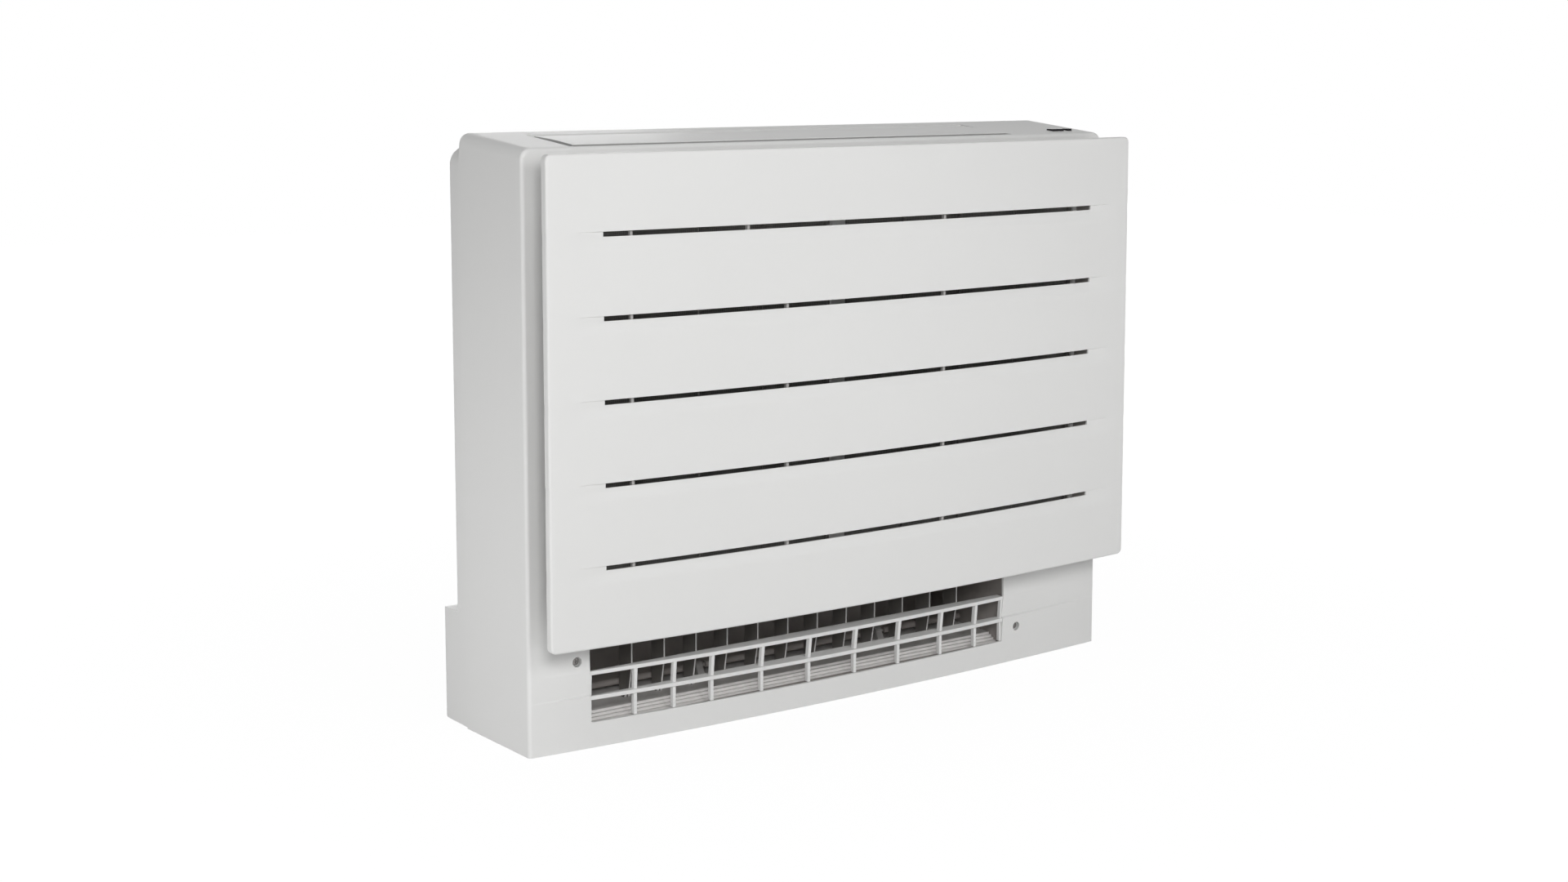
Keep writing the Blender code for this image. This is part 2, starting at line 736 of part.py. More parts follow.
def panel_places():
    """Places across the panel, with extra ones where the grooves fade out."""
    places = set(spread(PANEL_HALF_WIDTH, PANEL_STATIONS, PANEL_EDGE_ROUND))
    for x in (SLIT_HALF_LENGTH, SLIT_HALF_LENGTH + SLIT_FADE):
        places |= {x, -x}
    return sorted(places)


def bowed_slab(name, half_width, low, high, front, back, collection=None):
    """A bowed plate between two heights, its depths counted from the panel's front surface."""
    rings = []
    count = PANEL_STATIONS
    for i in range(count + 1):
        x = -half_width + 2 * half_width * i / count
        near, far = panel_y(x) + front, panel_y(x) + back
        rings.append([(x, near, low), (x, near, high), (x, far, high), (x, far, low)])
    return loft(name, rings, collection)


def make_panel():
    """The front panel: a lofted face with real grooves, slits cut across, and a rim and ribs behind."""
    levels = panel_levels()
    rings = []
    for x in panel_places():
        back = panel_y(x) + PANEL_EDGE
        face = [(x, panel_front(x, z), z) for z in levels]
        rings.append([(x, back, levels[0]), *face, (x, back, levels[-1])])
    panel = loft("front_panel", rings)
    outline = rounded_rectangle(
        -PANEL_HALF_WIDTH, PANEL_BOTTOM, PANEL_HALF_WIDTH, PANEL_TOP, PANEL_CORNER_RADIUS
    )
    front, back = -DEPTH / 2 - CUT_REACH, PANEL_END_Y + PANEL_EDGE + CUT_REACH
    keep_inside(panel, extrusion("panel_limit", outline, front, back, ALONG_Y, CUTTERS))
    pocket = bowed_slab(
        "panel_pocket",
        PANEL_HALF_WIDTH - PANEL_RIM,
        PANEL_BOTTOM + PANEL_RIM,
        PANEL_TOP - PANEL_RIM,
        PANEL_SHEET,
        PANEL_EDGE + CUT_REACH,
        CUTTERS,
    )
    cut(panel, pocket)
    for top in slit_tops():
        corner = (-SLIT_HALF_LENGTH, front, top - SLIT_HEIGHT)
        cut(panel, box("slit_cut", corner, (SLIT_HALF_LENGTH, back, top - SEAT), CUTTERS))
    join(panel, *panel_ribs())
    for side in (-1, 1):
        join(panel, *panel_hinge_arm(side))
    return finish(panel, "white_plastic")


def panel_ribs():
    """Upright ribs behind the slits, which tie the slats together. The middle one is split."""
    low, high = PANEL_BOTTOM + PANEL_RIM / 2, PANEL_TOP - PANEL_RIM / 2
    split = slit_tops()[0] - SLIT_PITCH / 2
    runs = (
        (-SLIT_HALF_LENGTH + OUTER_RIB_MARGIN, low, high),
        (MIDDLE_RIB_X, low, split),
        (UPPER_RIB_X, split, high),
        (RIGHT_RIB_X, low, high),
    )
    for x, foot, head in runs:
        near, far = panel_y(x) + RIB_SET_BACK, panel_y(x) + PANEL_EDGE - SEAT
        corner, other = (x - RIB_WIDTH / 2, near, foot), (x + RIB_WIDTH / 2, far, head)
        yield box("panel_rib", corner, other, CUTTERS)


def panel_hinge_arm(side):
    """One arm behind the panel's bottom edge, with its boss and its pin, which points outwards."""
    axis = (PANEL_HINGE_Y, PANEL_HINGE_Z)
    x0 = side * PANEL_HINGE_X - HINGE_ARM_WIDTH / 2
    x1 = x0 + HINGE_ARM_WIDTH
    near = panel_y(PANEL_HINGE_X) + PANEL_SHEET - JOIN_OVERLAP
    radius = HINGE_BOSS_RADIUS
    outline = [
        (near, max(PANEL_HINGE_Z - radius, PANEL_BOTTOM + PANEL_RIM)),
        *arc(axis, radius, -90, 90, 8),
        (near, PANEL_HINGE_Z + radius + HINGE_ARM_RISE),
    ]
    arm = extrusion("hinge_arm", outline, x0, x1, ALONG_X, CUTTERS)
    outer = side * (PANEL_HINGE_X + HINGE_ARM_WIDTH / 2)
    pin = rod(
        "hinge_pin",
        (outer - side * JOIN_OVERLAP, *axis),
        (outer + side * HINGE_PIN_LENGTH, *axis),
        HINGE_PIN_RADIUS,
        CUTTERS,
    )
    return arm, pin


def make_hinge_bracket(name, side):
    """An ear on the casing's front that holds one pin of the panel."""
    axis = (PANEL_HINGE_Y, PANEL_HINGE_Z)
    start = PANEL_HINGE_X + HINGE_ARM_WIDTH / 2 + HINGE_EAR_GAP
    end = start + HINGE_EAR_WIDTH
    radius = HINGE_BOSS_RADIUS
    back = CASING_FRONT_Y - SEAT
    outline = [
        (back, PANEL_HINGE_Z - radius - HINGE_EAR_SPREAD),
        (back, PANEL_HINGE_Z + radius + HINGE_EAR_SPREAD),
        *arc(axis, radius, 90, 270, 8),
    ]
    ear = extrusion(name, outline, *sorted((side * start, side * end)), ALONG_X)
    bore = rod(
        "pin_bore",
        (side * (start - CUT_REACH), *axis),
        (side * (end + CUT_REACH), *axis),
        HINGE_PIN_RADIUS + PIN_CLEARANCE,
        CUTTERS,
    )
    return finish(cut(ear, bore), "white_plastic")


def make_panel_stop(name, side):
    """A catch block on the casing's front, short of the panel by the moving gap."""
    middle = side * (FRONT_HALF_WIDTH - STOP_SIDE_MARGIN)
    front = panel_y(middle) + PANEL_EDGE + MOVING_GAP
    z = PANEL_TOP - STOP_DROP
    stop = box(
        name,
        (middle - STOP_WIDTH / 2, front, z - STOP_HEIGHT / 2),
        (middle + STOP_WIDTH / 2, CASING_FRONT_Y - SEAT, z + STOP_HEIGHT / 2),
    )
    return finish(stop, "white_plastic")


def flap_axis_z():
    """The flap turns about its rolled rear edge, whose top is level with the deck."""
    return deck_z(FLAP_AXIS_Y) - FLAP_BARREL_RADIUS


def make_flap():
    """The upper flap: a thin blade with a rolled rear edge and a pin at each end."""
    axis = (FLAP_AXIS_Y, flap_axis_z())
    radius = FLAP_BARREL_RADIUS
    front = deck_z(FLAP_FRONT_Y) + FLAP_RAISE
    middle_y = (FLAP_FRONT_Y + FLAP_AXIS_Y) / 2
    middle = deck_z(middle_y) + FLAP_RAISE
    outline = [
        (FLAP_FRONT_Y, front - FLAP_THICKNESS),
        (FLAP_FRONT_Y, front - FLAP_BEVEL),
        (FLAP_FRONT_Y + FLAP_BEVEL, front),
        (middle_y, middle),
        *reversed(arc(axis, radius, -150, 95, 12)),
        (middle_y, middle - FLAP_THICKNESS),
    ]
    flap = extrusion("upper_flap", outline, FLAP_LEFT, FLAP_RIGHT, ALONG_X)
    reach = MOVING_GAP + PLASTIC + JOIN_OVERLAP
    for x, side in ((FLAP_LEFT, -1), (FLAP_RIGHT, 1)):
        pin = rod(
            "flap_pin",
            (x - side * JOIN_OVERLAP, *axis),
            (x + side * reach, *axis),
            HINGE_PIN_RADIUS,
            CUTTERS,
        )
        join(flap, pin)
    return finish(flap, "white_plastic")


def make_upper_duct():
    """The nozzle below the flap, open at the top, whose end walls carry the flap's pins."""
    inner_left, inner_right = FLAP_LEFT - MOVING_GAP, FLAP_RIGHT + MOVING_GAP
    inner_front = FLAP_FRONT_Y - MOVING_GAP + PLASTIC
    inner_rear = FLAP_REAR_Y + MOVING_GAP
    outer_front, outer_rear = CASING_INNER_FRONT_Y + SEAT, inner_rear + PLASTIC
    drop = PLASTIC + 2 * SEAT
    bottom = UPPER_DUCT_FLOOR - PLASTIC
    outer = [
        (outer_front, bottom),
        (outer_rear, bottom),
        (outer_rear, deck_z(outer_rear) - drop),
        (outer_front, deck_z(outer_front) - drop),
    ]
    curve = UPPER_DUCT_CURVE
    inner = [
        (inner_front, UPPER_DUCT_FLOOR),
        *arc((inner_rear - curve, UPPER_DUCT_FLOOR + curve), curve, -90, 0, 6),
        (inner_rear, HEIGHT + CUT_REACH),
        (inner_front, HEIGHT + CUT_REACH),
    ]
    left, right = inner_left - PLASTIC, inner_right + PLASTIC
    duct = extrusion("upper_duct", outer, left, right, ALONG_X)
    room = extrusion("upper_room", inner, inner_left, inner_right, ALONG_X, CUTTERS)
    axis = (FLAP_AXIS_Y, flap_axis_z())
    bore = rod(
        "flap_bore",
        (left - CUT_REACH, *axis),
        (right + CUT_REACH, *axis),
        HINGE_PIN_RADIUS + PIN_CLEARANCE,
        CUTTERS,
    )
    return finish(fit_in_casing(cut(duct, room, bore)), "dark_plastic")


def make_upper_vanes():
    """Upright vanes across the upper nozzle, shaped to its curved rear wall."""
    front = FLAP_FRONT_Y - MOVING_GAP + PLASTIC + SEAT
    rear = FLAP_REAR_Y + MOVING_GAP - SEAT
    floor = UPPER_DUCT_FLOOR + SEAT
    top = UPPER_DUCT_FLOOR + UPPER_VANE_HEIGHT
    curve = UPPER_DUCT_CURVE
    outline = [
        (front, floor),
        *arc((rear - curve, floor + curve), curve, -90, 0, 6),
        (rear, top),
        (front, top),
    ]
    span = (FLAP_RIGHT - FLAP_LEFT) / UPPER_VANE_COUNT
    for i in range(UPPER_VANE_COUNT):
        low = FLAP_LEFT + span * (i + 0.5) - VANE_THICKNESS / 2
        name = f"upper_vane_{i + 1}"
        finish(extrusion(name, outline, low, low + VANE_THICKNESS, ALONG_X), "dark_plastic")


def grille_bar(name, left, right, low, high, collection=None):
    """A deep bar whose front follows the casing's chin and whose back is straight."""
    rings = []
    for i in range(GRILLE_STATIONS + 1):
        x = left + (right - left) * i / GRILLE_STATIONS
        front = chin_profile(x, low, high, BAR_SET_BACK)
        rear = ((BAR_BACK_Y, high), (BAR_BACK_Y, low))
        rings.append([(x, y, z) for y, z in (*front, *rear)])
    return loft(name, rings, collection)


def cell_edges():
    """Places of the outlet's ends and of the posts between its cells."""
    scale = (OUTLET_RIGHT - OUTLET_LEFT) / sum(CELL_WIDTHS)
    edges = [OUTLET_LEFT]
    for width in CELL_WIDTHS:
        edges.append(edges[-1] + width * scale)
    return edges


def make_grille():
    """The lower grille in the casing's opening: two deep bars, slim posts and a post at each end."""
    left, right = OUTLET_LEFT + SEAT, OUTLET_RIGHT - SEAT
    low, high = LOWER_TIER_TOP - BAR_HEIGHT, LOWER_TIER_TOP
    grille = grille_bar("outlet_grille", left, right, low, high)
    low, high = UPPER_TIER_TOP - BAR_HEIGHT, UPPER_TIER_TOP
    join(grille, grille_bar("upper_bar", left, right, low, high, CUTTERS))
    join(grille, grille_post(left, left + END_POST_WIDTH, END_POST_DEPTH))
    for x in cell_edges()[1:-1]:
        join(grille, grille_post(x - POST_WIDTH / 2, x + POST_WIDTH / 2, POST_DEPTH))
    join(grille, grille_post(right - END_POST_WIDTH, right, END_POST_DEPTH))
    return finish(grille, "white_plastic")


def grille_post(left, right, depth):
    """One post, upright below the lower bar and leaning forward with the chin above it."""
    x = (left + right) / 2
    low, bend = OUTLET_BOTTOM + SEAT, LOWER_TIER_TOP - BAR_HEIGHT / 2
    high = UPPER_TIER_TOP - BAR_HEIGHT / 2
    foot_y = chin_y(x, OUTLET_BOTTOM) + POST_SET_BACK
    top_y = chin_y(x, UPPER_TIER_TOP) + POST_SET_BACK
    outline = [
        (foot_y, low),
        (foot_y + depth, low),
        (foot_y + depth, bend),
        (top_y + depth, high),
        (top_y, high),
        (foot_y, bend),
    ]
    return extrusion("post", outline, left, right, ALONG_X, CUTTERS)


def make_outlet_duct():
    """The dark channel behind the grille, which meets the inside of the casing's bowed front."""
    duct = box(
        "outlet_duct",
        (DUCT_LEFT - PLASTIC, CASING_FRONT_Y - UPPER_TIER_BOW, DUCT_BOTTOM - PLASTIC),
        (DUCT_RIGHT + PLASTIC, DUCT_BACK_Y + PLASTIC, DUCT_TOP + PLASTIC),
    )
    front = CASING_FRONT_Y - UPPER_TIER_BOW - CUT_REACH
    curve = DUCT_CURVE
    room = [
        (front, DUCT_BOTTOM),
        (DUCT_BACK_Y, DUCT_BOTTOM),
        *arc((DUCT_BACK_Y - curve, DUCT_TOP - curve), curve, 0, 90, 5),
        (front, DUCT_TOP),
    ]
    cut(duct, extrusion("duct_room", room, DUCT_LEFT, DUCT_RIGHT, ALONG_X, CUTTERS))
    return finish(fit_in_casing(duct), "dark_plastic")


def make_outlet_floor():
    """The grey floor in the duct: a bent sheet that steps up behind the sill and ends in a rear leg."""
    front, back = CASING_FRONT_Y, DUCT_BACK_Y - SEAT
    base, sheet = DUCT_BOTTOM + SEAT, FLOOR_SHEET
    run = FLOOR_STEPS_DEPTH / FLOOR_STEPS
    rise = (FLOOR_TOP - base) / FLOOR_STEPS
    steps = [
        (front + i * run, base + j * rise)
        for i in range(FLOOR_STEPS)
        for j in (i, i + 1)
    ]
    outline = [
        *steps,
        (back, FLOOR_TOP),
        (back, base),
        (back - sheet, base),
        (back - sheet, FLOOR_TOP - sheet),
        (front + FLOOR_STEPS_DEPTH, FLOOR_TOP - sheet),
        (front + sheet, base),
    ]
    ends = (DUCT_LEFT + SEAT, DUCT_RIGHT - SEAT)
    return finish(extrusion("outlet_floor", outline, *ends, ALONG_X), "grey_plastic")


def make_guide_vanes():
    """Upright vanes behind the grille, each with a flared foot on the grey floor."""
    floor, top = FLOOR_TOP + SEAT, DUCT_TOP - SEAT
    first = OUTLET_LEFT + VANE_LEFT_MARGIN
    last = OUTLET_RIGHT - VANE_RIGHT_MARGIN
    half = VANE_THICKNESS / 2
    outline = [
        (VANE_FRONT_Y + VANE_LEAN, floor),
        (VANE_BACK_Y, floor),
        (VANE_BACK_Y, top),
        (VANE_FRONT_Y, top),
        (VANE_FRONT_Y, floor + VANE_LEAN_HEIGHT),
    ]
    foot_front = VANE_FRONT_Y + VANE_LEAN + JOIN_OVERLAP
    foot_back = VANE_BACK_Y - JOIN_OVERLAP
    for i in range(VANE_COUNT):
        x = first + i * (last - first) / (VANE_COUNT - 1)
        vane = extrusion(f"guide_vane_{i + 1:02d}", outline, x - half, x + half, ALONG_X)
        foot_outline = [
            (x - VANE_FOOT_WIDTH / 2, floor),
            (x + VANE_FOOT_WIDTH / 2, floor),
            (x + half / 2, floor + VANE_FOOT_HEIGHT),
            (x - half / 2, floor + VANE_FOOT_HEIGHT),
        ]
        foot = extrusion("vane_foot", foot_outline, foot_front, foot_back, ALONG_Y, CUTTERS)
        finish(join(vane, foot), "grey_plastic")


def bracket_places():
    """The two damper brackets stand behind the middles of two cells."""
    edges = cell_edges()
    return [(edges[i] + edges[i + 1]) / 2 for i in BRACKET_CELLS]


def make_damper():
    """The blade that shuts the lower outlet: it lies open and turns up about its front edge."""
    axis = (DAMPER_AXIS_Y, DAMPER_AXIS_Z)
    x0, x1 = DUCT_LEFT + MOVING_GAP, DUCT_RIGHT - MOVING_GAP
    half = DAMPER_THICKNESS / 2
    blade = box(
        "lower_damper",
        (x0, DAMPER_AXIS_Y, DAMPER_AXIS_Z - half),
        (x1, DAMPER_END_Y, DAMPER_AXIS_Z + half),
    )
    join(blade, rod("barrel", (x0, *axis), (x1, *axis), DAMPER_BARREL_RADIUS, CUTTERS))
    reach = BRACKET_WIDTH / 2 + MOVING_GAP
    around = BRACKET_HEAD_RADIUS + MOVING_GAP
    for x in bracket_places():
        notch = box(
            "notch",
            (x - reach, DAMPER_AXIS_Y - around, DAMPER_AXIS_Z - around),
            (x + reach, DAMPER_AXIS_Y + around, DAMPER_AXIS_Z + around),
            CUTTERS,
        )
        pin = rod(
            "damper_pin",
            (x - reach - JOIN_OVERLAP, *axis),
            (x + reach + JOIN_OVERLAP, *axis),
            DAMPER_PIN_RADIUS,
            CUTTERS,
        )
        join(cut(blade, notch), pin)
    return finish(blade, "grey_plastic")


def make_damper_bracket(name, x):
    """A bracket on the grey floor that carries the damper's pin."""
    axis = (DAMPER_AXIS_Y, DAMPER_AXIS_Z)
    floor = FLOOR_TOP + SEAT
    radius = BRACKET_HEAD_RADIUS
    outline = [
        (DAMPER_AXIS_Y - BRACKET_FOOT, floor),
        (DAMPER_AXIS_Y + radius, floor),
        *arc(axis, radius, 0, 180, 8),
    ]
    half = BRACKET_WIDTH / 2
    bracket = extrusion(name, outline, x - half, x + half, ALONG_X)
    bore = rod(
        "bracket_bore",
        (x - half - CUT_REACH, *axis),
        (x + half + CUT_REACH, *axis),
        DAMPER_PIN_RADIUS + PIN_CLEARANCE,
        CUTTERS,
    )
    return finish(cut(bracket, bore), "grey_plastic")


def make_filter(name, low_x, high_x):
    """One air filter: a frame with crossing ribs and a thin sheet of mesh behind them."""
    left, right = low_x - FILTER_LAP, high_x + FILTER_LAP
    low, high = INTAKE_BOTTOM - FILTER_LAP, INTAKE_TOP + FILTER_LAP
    front = CASING_INNER_FRONT_Y + SEAT
    back = front + FILTER_DEPTH
    frame = box(name, (left, front, low), (right, back, high))
    wide = right - left - 2 * FILTER_FRAME - (FILTER_RIB_COLUMNS - 1) * FILTER_RIB
    tall = high - low - 2 * FILTER_FRAME - (FILTER_RIB_ROWS - 1) * FILTER_RIB
    cell_x, cell_z = wide / FILTER_RIB_COLUMNS, tall / FILTER_RIB_ROWS
    for column in range(FILTER_RIB_COLUMNS):
        x = left + FILTER_FRAME + column * (cell_x + FILTER_RIB)
        for row in range(FILTER_RIB_ROWS):
            z = low + FILTER_FRAME + row * (cell_z + FILTER_RIB)
            corner = (x, front - CUT_REACH, z)
            other = (x + cell_x, back - FILTER_MESH, z + cell_z)
            cut(frame, box("filter_cell", corner, other, CUTTERS))
    return finish(frame, "filter_mesh")


def make_coil():
    """The heat exchanger behind the filters, its fins shown as a row of grooves."""
    half = INTAKE_HALF_WIDTH + FILTER_LAP
    front = CASING_INNER_FRONT_Y + FILTER_DEPTH + 2 * SEAT
    low, high = INTAKE_BOTTOM - FILTER_LAP, UPPER_DUCT_FLOOR - PLASTIC - SEAT
    coil = box("coil", (-half, front, low), (half, front + COIL_DEPTH, high))
    pitch = (high - low) / COIL_GROOVES
    finned = half - COIL_END_PLATE
    for i in range(COIL_GROOVES):
        z = low + pitch * (i + 0.5)
        corner = (-finned, front - CUT_REACH, z - pitch / 8)
        other = (finned, front + COIL_GROOVE_DEPTH, z + pitch / 8)
        cut(coil, box("coil_groove", corner, other, CUTTERS))
    return finish(coil, "coil_metal")


def make_inner_frame():
    """The inner wall that carries the coil and closes off the back."""
    half = FRONT_HALF_WIDTH - PLASTIC - SEAT
    front = CASING_INNER_FRONT_Y + FILTER_DEPTH + COIL_DEPTH + 3 * SEAT
    wall = box(
        "inner_frame",
        (-half, front, DUCT_TOP + PLASTIC + SEAT),
        (half, front + INNER_FRAME_THICKNESS, UPPER_DUCT_FLOOR - PLASTIC - SEAT),
    )
    return finish(wall, "grey_plastic")


def display_ends():
    right = FRONT_HALF_WIDTH - DISPLAY_INSET
    return right - DISPLAY_WIDTH, right


def receiver_ends():
    right = FRONT_HALF_WIDTH - RECEIVER_INSET
    return right - RECEIVER_WIDTH, right


def window_front_y():
    return CASING_FRONT_Y + WINDOW_FRONT_MARGIN


def window_floor_z():
    return deck_z(window_front_y()) - WINDOW_THICKNESS


def make_window(name, ends):
    """A small dark window let into the deck."""
    near, far = window_front_y() + SEAT, window_front_y() + WINDOW_DEPTH - SEAT
    window = box(
        name,
        (ends[0] + SEAT, near, window_floor_z() + SEAT),
        (ends[1] - SEAT, far, deck_z(far) + WINDOW_PROUD),
    )
    return finish(window, "dark_window")


clear_scene()
PARTS = make_collection("floor_air_conditioner")
CUTTERS = make_collection("cutters")
MATERIALS = {name: make_material(name) for name in COLOURS}

make_casing()
make_rear_frame()
make_base_plate()
make_panel()
make_hinge_bracket("panel_hinge_left", -1)
make_hinge_bracket("panel_hinge_right", 1)
make_panel_stop("panel_stop_left", -1)
make_panel_stop("panel_stop_right", 1)
make_flap()
make_upper_duct()
make_upper_vanes()
make_grille()
make_outlet_duct()
make_outlet_floor()
make_guide_vanes()
make_damper()
make_damper_bracket("damper_bracket_left", bracket_places()[0])
make_damper_bracket("damper_bracket_right", bracket_places()[1])
make_filter("air_filter_left", *intake_bays()[0])
make_filter("air_filter_right", *intake_bays()[1])
make_coil()
make_inner_frame()
make_window("display_window", display_ends())
make_window("receiver_window", receiver_ends())
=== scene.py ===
# %% [markdown]
# # Floor standing air conditioner
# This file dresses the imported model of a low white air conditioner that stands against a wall. The packed
# model is the fixed frame: it says where each body is and how it turns. Here each visible piece gets its
# fine shape and its finish. All lengths are in metres, +Z is up, and the front looks towards -Y.

# %% Load the frame
import math

import bmesh
import bpy
from mathutils import Matrix, Vector
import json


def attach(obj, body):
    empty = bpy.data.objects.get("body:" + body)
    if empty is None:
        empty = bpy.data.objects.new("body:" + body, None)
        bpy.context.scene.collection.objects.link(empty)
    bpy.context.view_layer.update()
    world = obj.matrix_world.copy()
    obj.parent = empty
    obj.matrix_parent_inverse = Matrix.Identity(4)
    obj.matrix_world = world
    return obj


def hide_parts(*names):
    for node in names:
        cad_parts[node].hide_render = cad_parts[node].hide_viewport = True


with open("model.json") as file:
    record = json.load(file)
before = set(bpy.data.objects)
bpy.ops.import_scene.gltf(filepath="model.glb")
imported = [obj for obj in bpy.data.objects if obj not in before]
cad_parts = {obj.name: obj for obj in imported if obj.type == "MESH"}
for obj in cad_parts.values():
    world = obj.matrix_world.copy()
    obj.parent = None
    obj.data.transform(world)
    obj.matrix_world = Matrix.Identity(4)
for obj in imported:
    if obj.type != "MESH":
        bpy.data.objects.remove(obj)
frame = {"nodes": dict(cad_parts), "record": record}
for name in ("Cube", "Light", "Camera"):
    if name in bpy.data.objects:
        bpy.data.objects.remove(bpy.data.objects[name], do_unlink=True)
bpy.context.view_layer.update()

# %% [markdown]
# ## Sizes
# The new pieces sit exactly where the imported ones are, so the sizes that several pieces share are written
# once. The casing's front is bowed below the panel, like a chin, in two tiers with a step between them and
# a short shoulder above, which hides behind the panel's bottom edge. Each level of the chin has a height
# and a bow, which is how far its middle stands out.

# %% Shared sizes
HEIGHT = 0.600
CASING_FRONT, CASING_REAR = -0.0565, 0.065
FRONT_HALF, REAR_HALF = 0.3715, 0.375
DECK_RISE = 0.0115
LOW_TIER_TOP, HIGH_TIER_FOOT, HIGH_TIER_TOP = 0.0525, 0.0540, 0.0775
CHIN_LEVELS = (
    (0.0, 0.0155),
    (LOW_TIER_TOP, 0.0210),
    (HIGH_TIER_FOOT, 0.0165),
    (HIGH_TIER_TOP, 0.0215),
    (0.1055, 0.0205),
    (0.1115, 0.0),
)
OUTLET_LEFT, OUTLET_RIGHT = -0.307, 0.221
OUTLET_BOTTOM, OUTLET_TOP = 0.026, 0.103


def chin_bow(z):
    """How far the chin's middle stands out at a height, between its levels."""
    for (low, low_bow), (high, high_bow) in zip(CHIN_LEVELS, CHIN_LEVELS[1:]):
        if low <= z <= high:
            return low_bow + (high_bow - low_bow) * (z - low) / (high - low)
    return 0.0


def chin_front(x, z):
    """The chin's surface at x and z: the bow shrinks to nothing at the casing's sides."""
    return CASING_FRONT - chin_bow(z) * (1 - (x / FRONT_HALF) ** 2)


def deck_height(y):
    """The deck slopes up a little from front to rear."""
    return HEIGHT - DECK_RISE * (CASING_REAR - y) / (CASING_REAR - CASING_FRONT)


print("chin front in the middle:", [round(chin_front(0, z), 4) for z, _ in CHIN_LEVELS])

# %% [markdown]
# ## Camera
# The photograph looks at the unit from its front left, a little from above, so the verticals stay almost
# parallel. The camera's place and angles were fitted to the unit's corners. The unit sits a little higher
# in the picture than the lens axis would put it, and a small shift makes up for that.

# %% Camera
SHIFT_PIXELS, PHOTO_WIDTH = -150, 1920
YAW, PITCH = math.radians(-35.58), math.radians(90 - 6.83)
camera_data = bpy.data.cameras.new("photo_camera")
camera_data.lens = 50.44
camera_data.sensor_width = 36
camera_data.shift_y = SHIFT_PIXELS / PHOTO_WIDTH
camera = bpy.data.objects.new("photo_camera", camera_data)
bpy.context.scene.collection.objects.link(camera)
camera.location = (-1.368, -1.872, 0.675)
camera.rotation_euler = (Matrix.Rotation(YAW, 4, "Z") @ Matrix.Rotation(PITCH, 4, "X")).to_euler()
bpy.context.scene.camera = camera
bpy.context.scene.view_settings.view_transform = "Standard"
print("camera at", tuple(camera.location))

# %% [markdown]
# ## Working by hand, in code
# The modelling tools act on whatever is selected. These helpers deselect everything, add one primitive at
# its size and place, go into edit mode and select vertices, edges or faces by where they are. The object's
# own place is always written into its mesh, so that each finished piece sits at the origin.


# %% Primitives at their size and place
def only(piece):
    """Selects one object and makes it the active one."""
    bpy.ops.object.select_all(action="DESELECT")
    piece.select_set(True)
    bpy.context.view_layer.objects.active = piece


def settle(name):
    """Names the new object and writes its place, turn and size into its mesh."""
    made = bpy.context.object
    made.name = made.data.name = name
    only(made)
    bpy.ops.object.transform_apply(location=True, rotation=True, scale=True)
    return made


def block(name, low, high):
    """A cube primitive between two corners."""
    bpy.ops.object.select_all(action="DESELECT")
    low, high = Vector(low), Vector(high)
    bpy.ops.mesh.primitive_cube_add(size=1, location=(low + high) / 2, scale=high - low)
    return settle(name)


def drum(name, start, end, radius, sides=32):
    """A cylinder primitive between two points."""
    bpy.ops.object.select_all(action="DESELECT")
    start, end = Vector(start), Vector(end)
    aim = (end - start).to_track_quat("Z", "Y").to_euler()
    bpy.ops.mesh.primitive_cylinder_add(
        vertices=sides, radius=radius, depth=(end - start).length, location=(start + end) / 2, rotation=aim
    )
    return settle(name)


print("primitives ready")


# %% Edit mode and selecting
def edit(piece):
    """Goes into edit mode on one piece with nothing selected."""
    only(piece)
    bpy.ops.object.mode_set(mode="EDIT")
    bpy.ops.mesh.select_all(action="DESELECT")


def done():
    bpy.ops.object.mode_set(mode="OBJECT")


def near(a, b, reach=2e-5):
    return abs(a - b) < reach


def pick(kind, test):
    """In edit mode, selects only the vertices, edges or faces whose middle passes a test."""
    bpy.ops.mesh.select_mode(type=kind)
    bpy.ops.mesh.select_all(action="DESELECT")
    mesh = bpy.context.edit_object.data
    shape = bmesh.from_edit_mesh(mesh)
    parts = {"VERT": shape.verts, "EDGE": shape.edges, "FACE": shape.faces}[kind]
    count = 0
    for part in parts:
        middle = part.co if kind == "VERT" else sum((v.co for v in part.verts), Vector()) / len(part.verts)
        if test(middle):
            part.select_set(True)
            count += 1
    shape.select_flush_mode()
    bmesh.update_edit_mesh(mesh)
    return count


def places(axis, test=lambda middle: True):
    """The different places of the edited vertices along one axis."""
    shape = bmesh.from_edit_mesh(bpy.context.edit_object.data)
    return sorted({round(v.co[axis], 6) for v in shape.verts if test(v.co)})


def push(x=0.0, y=0.0, z=0.0):
    """Moves the selection."""
    bpy.ops.transform.translate(value=(x, y, z))


def slice_at(axis, place):
    """Cuts the whole edited mesh through at one place along an axis."""
    across = Vector([float(i == axis) for i in range(3)])
    bpy.ops.mesh.select_all(action="SELECT")
    bpy.ops.mesh.bisect(plane_co=across * place, plane_no=across)


def turn_outward():
    """Makes every face of the edited mesh look outwards."""
    bpy.ops.mesh.select_all(action="SELECT")
    bpy.ops.mesh.normals_make_consistent(inside=False)


print("edit mode helpers ready")


# %% Modifiers, cuts and joins
def apply(piece, kind, **settings):
    """Adds a modifier, sets it and applies it at once."""
    modifier = piece.modifiers.new(kind.lower(), kind)
    for key, value in settings.items():
        setattr(modifier, key, value)
    only(piece)
    bpy.ops.object.modifier_apply(modifier=modifier.name)


def soften(piece, width, segments=2, degrees=30):
    """Rounds the edges that turn by more than an angle."""
    limit = math.radians(degrees)
    apply(piece, "BEVEL", width=width, segments=segments, limit_method="ANGLE", angle_limit=limit)


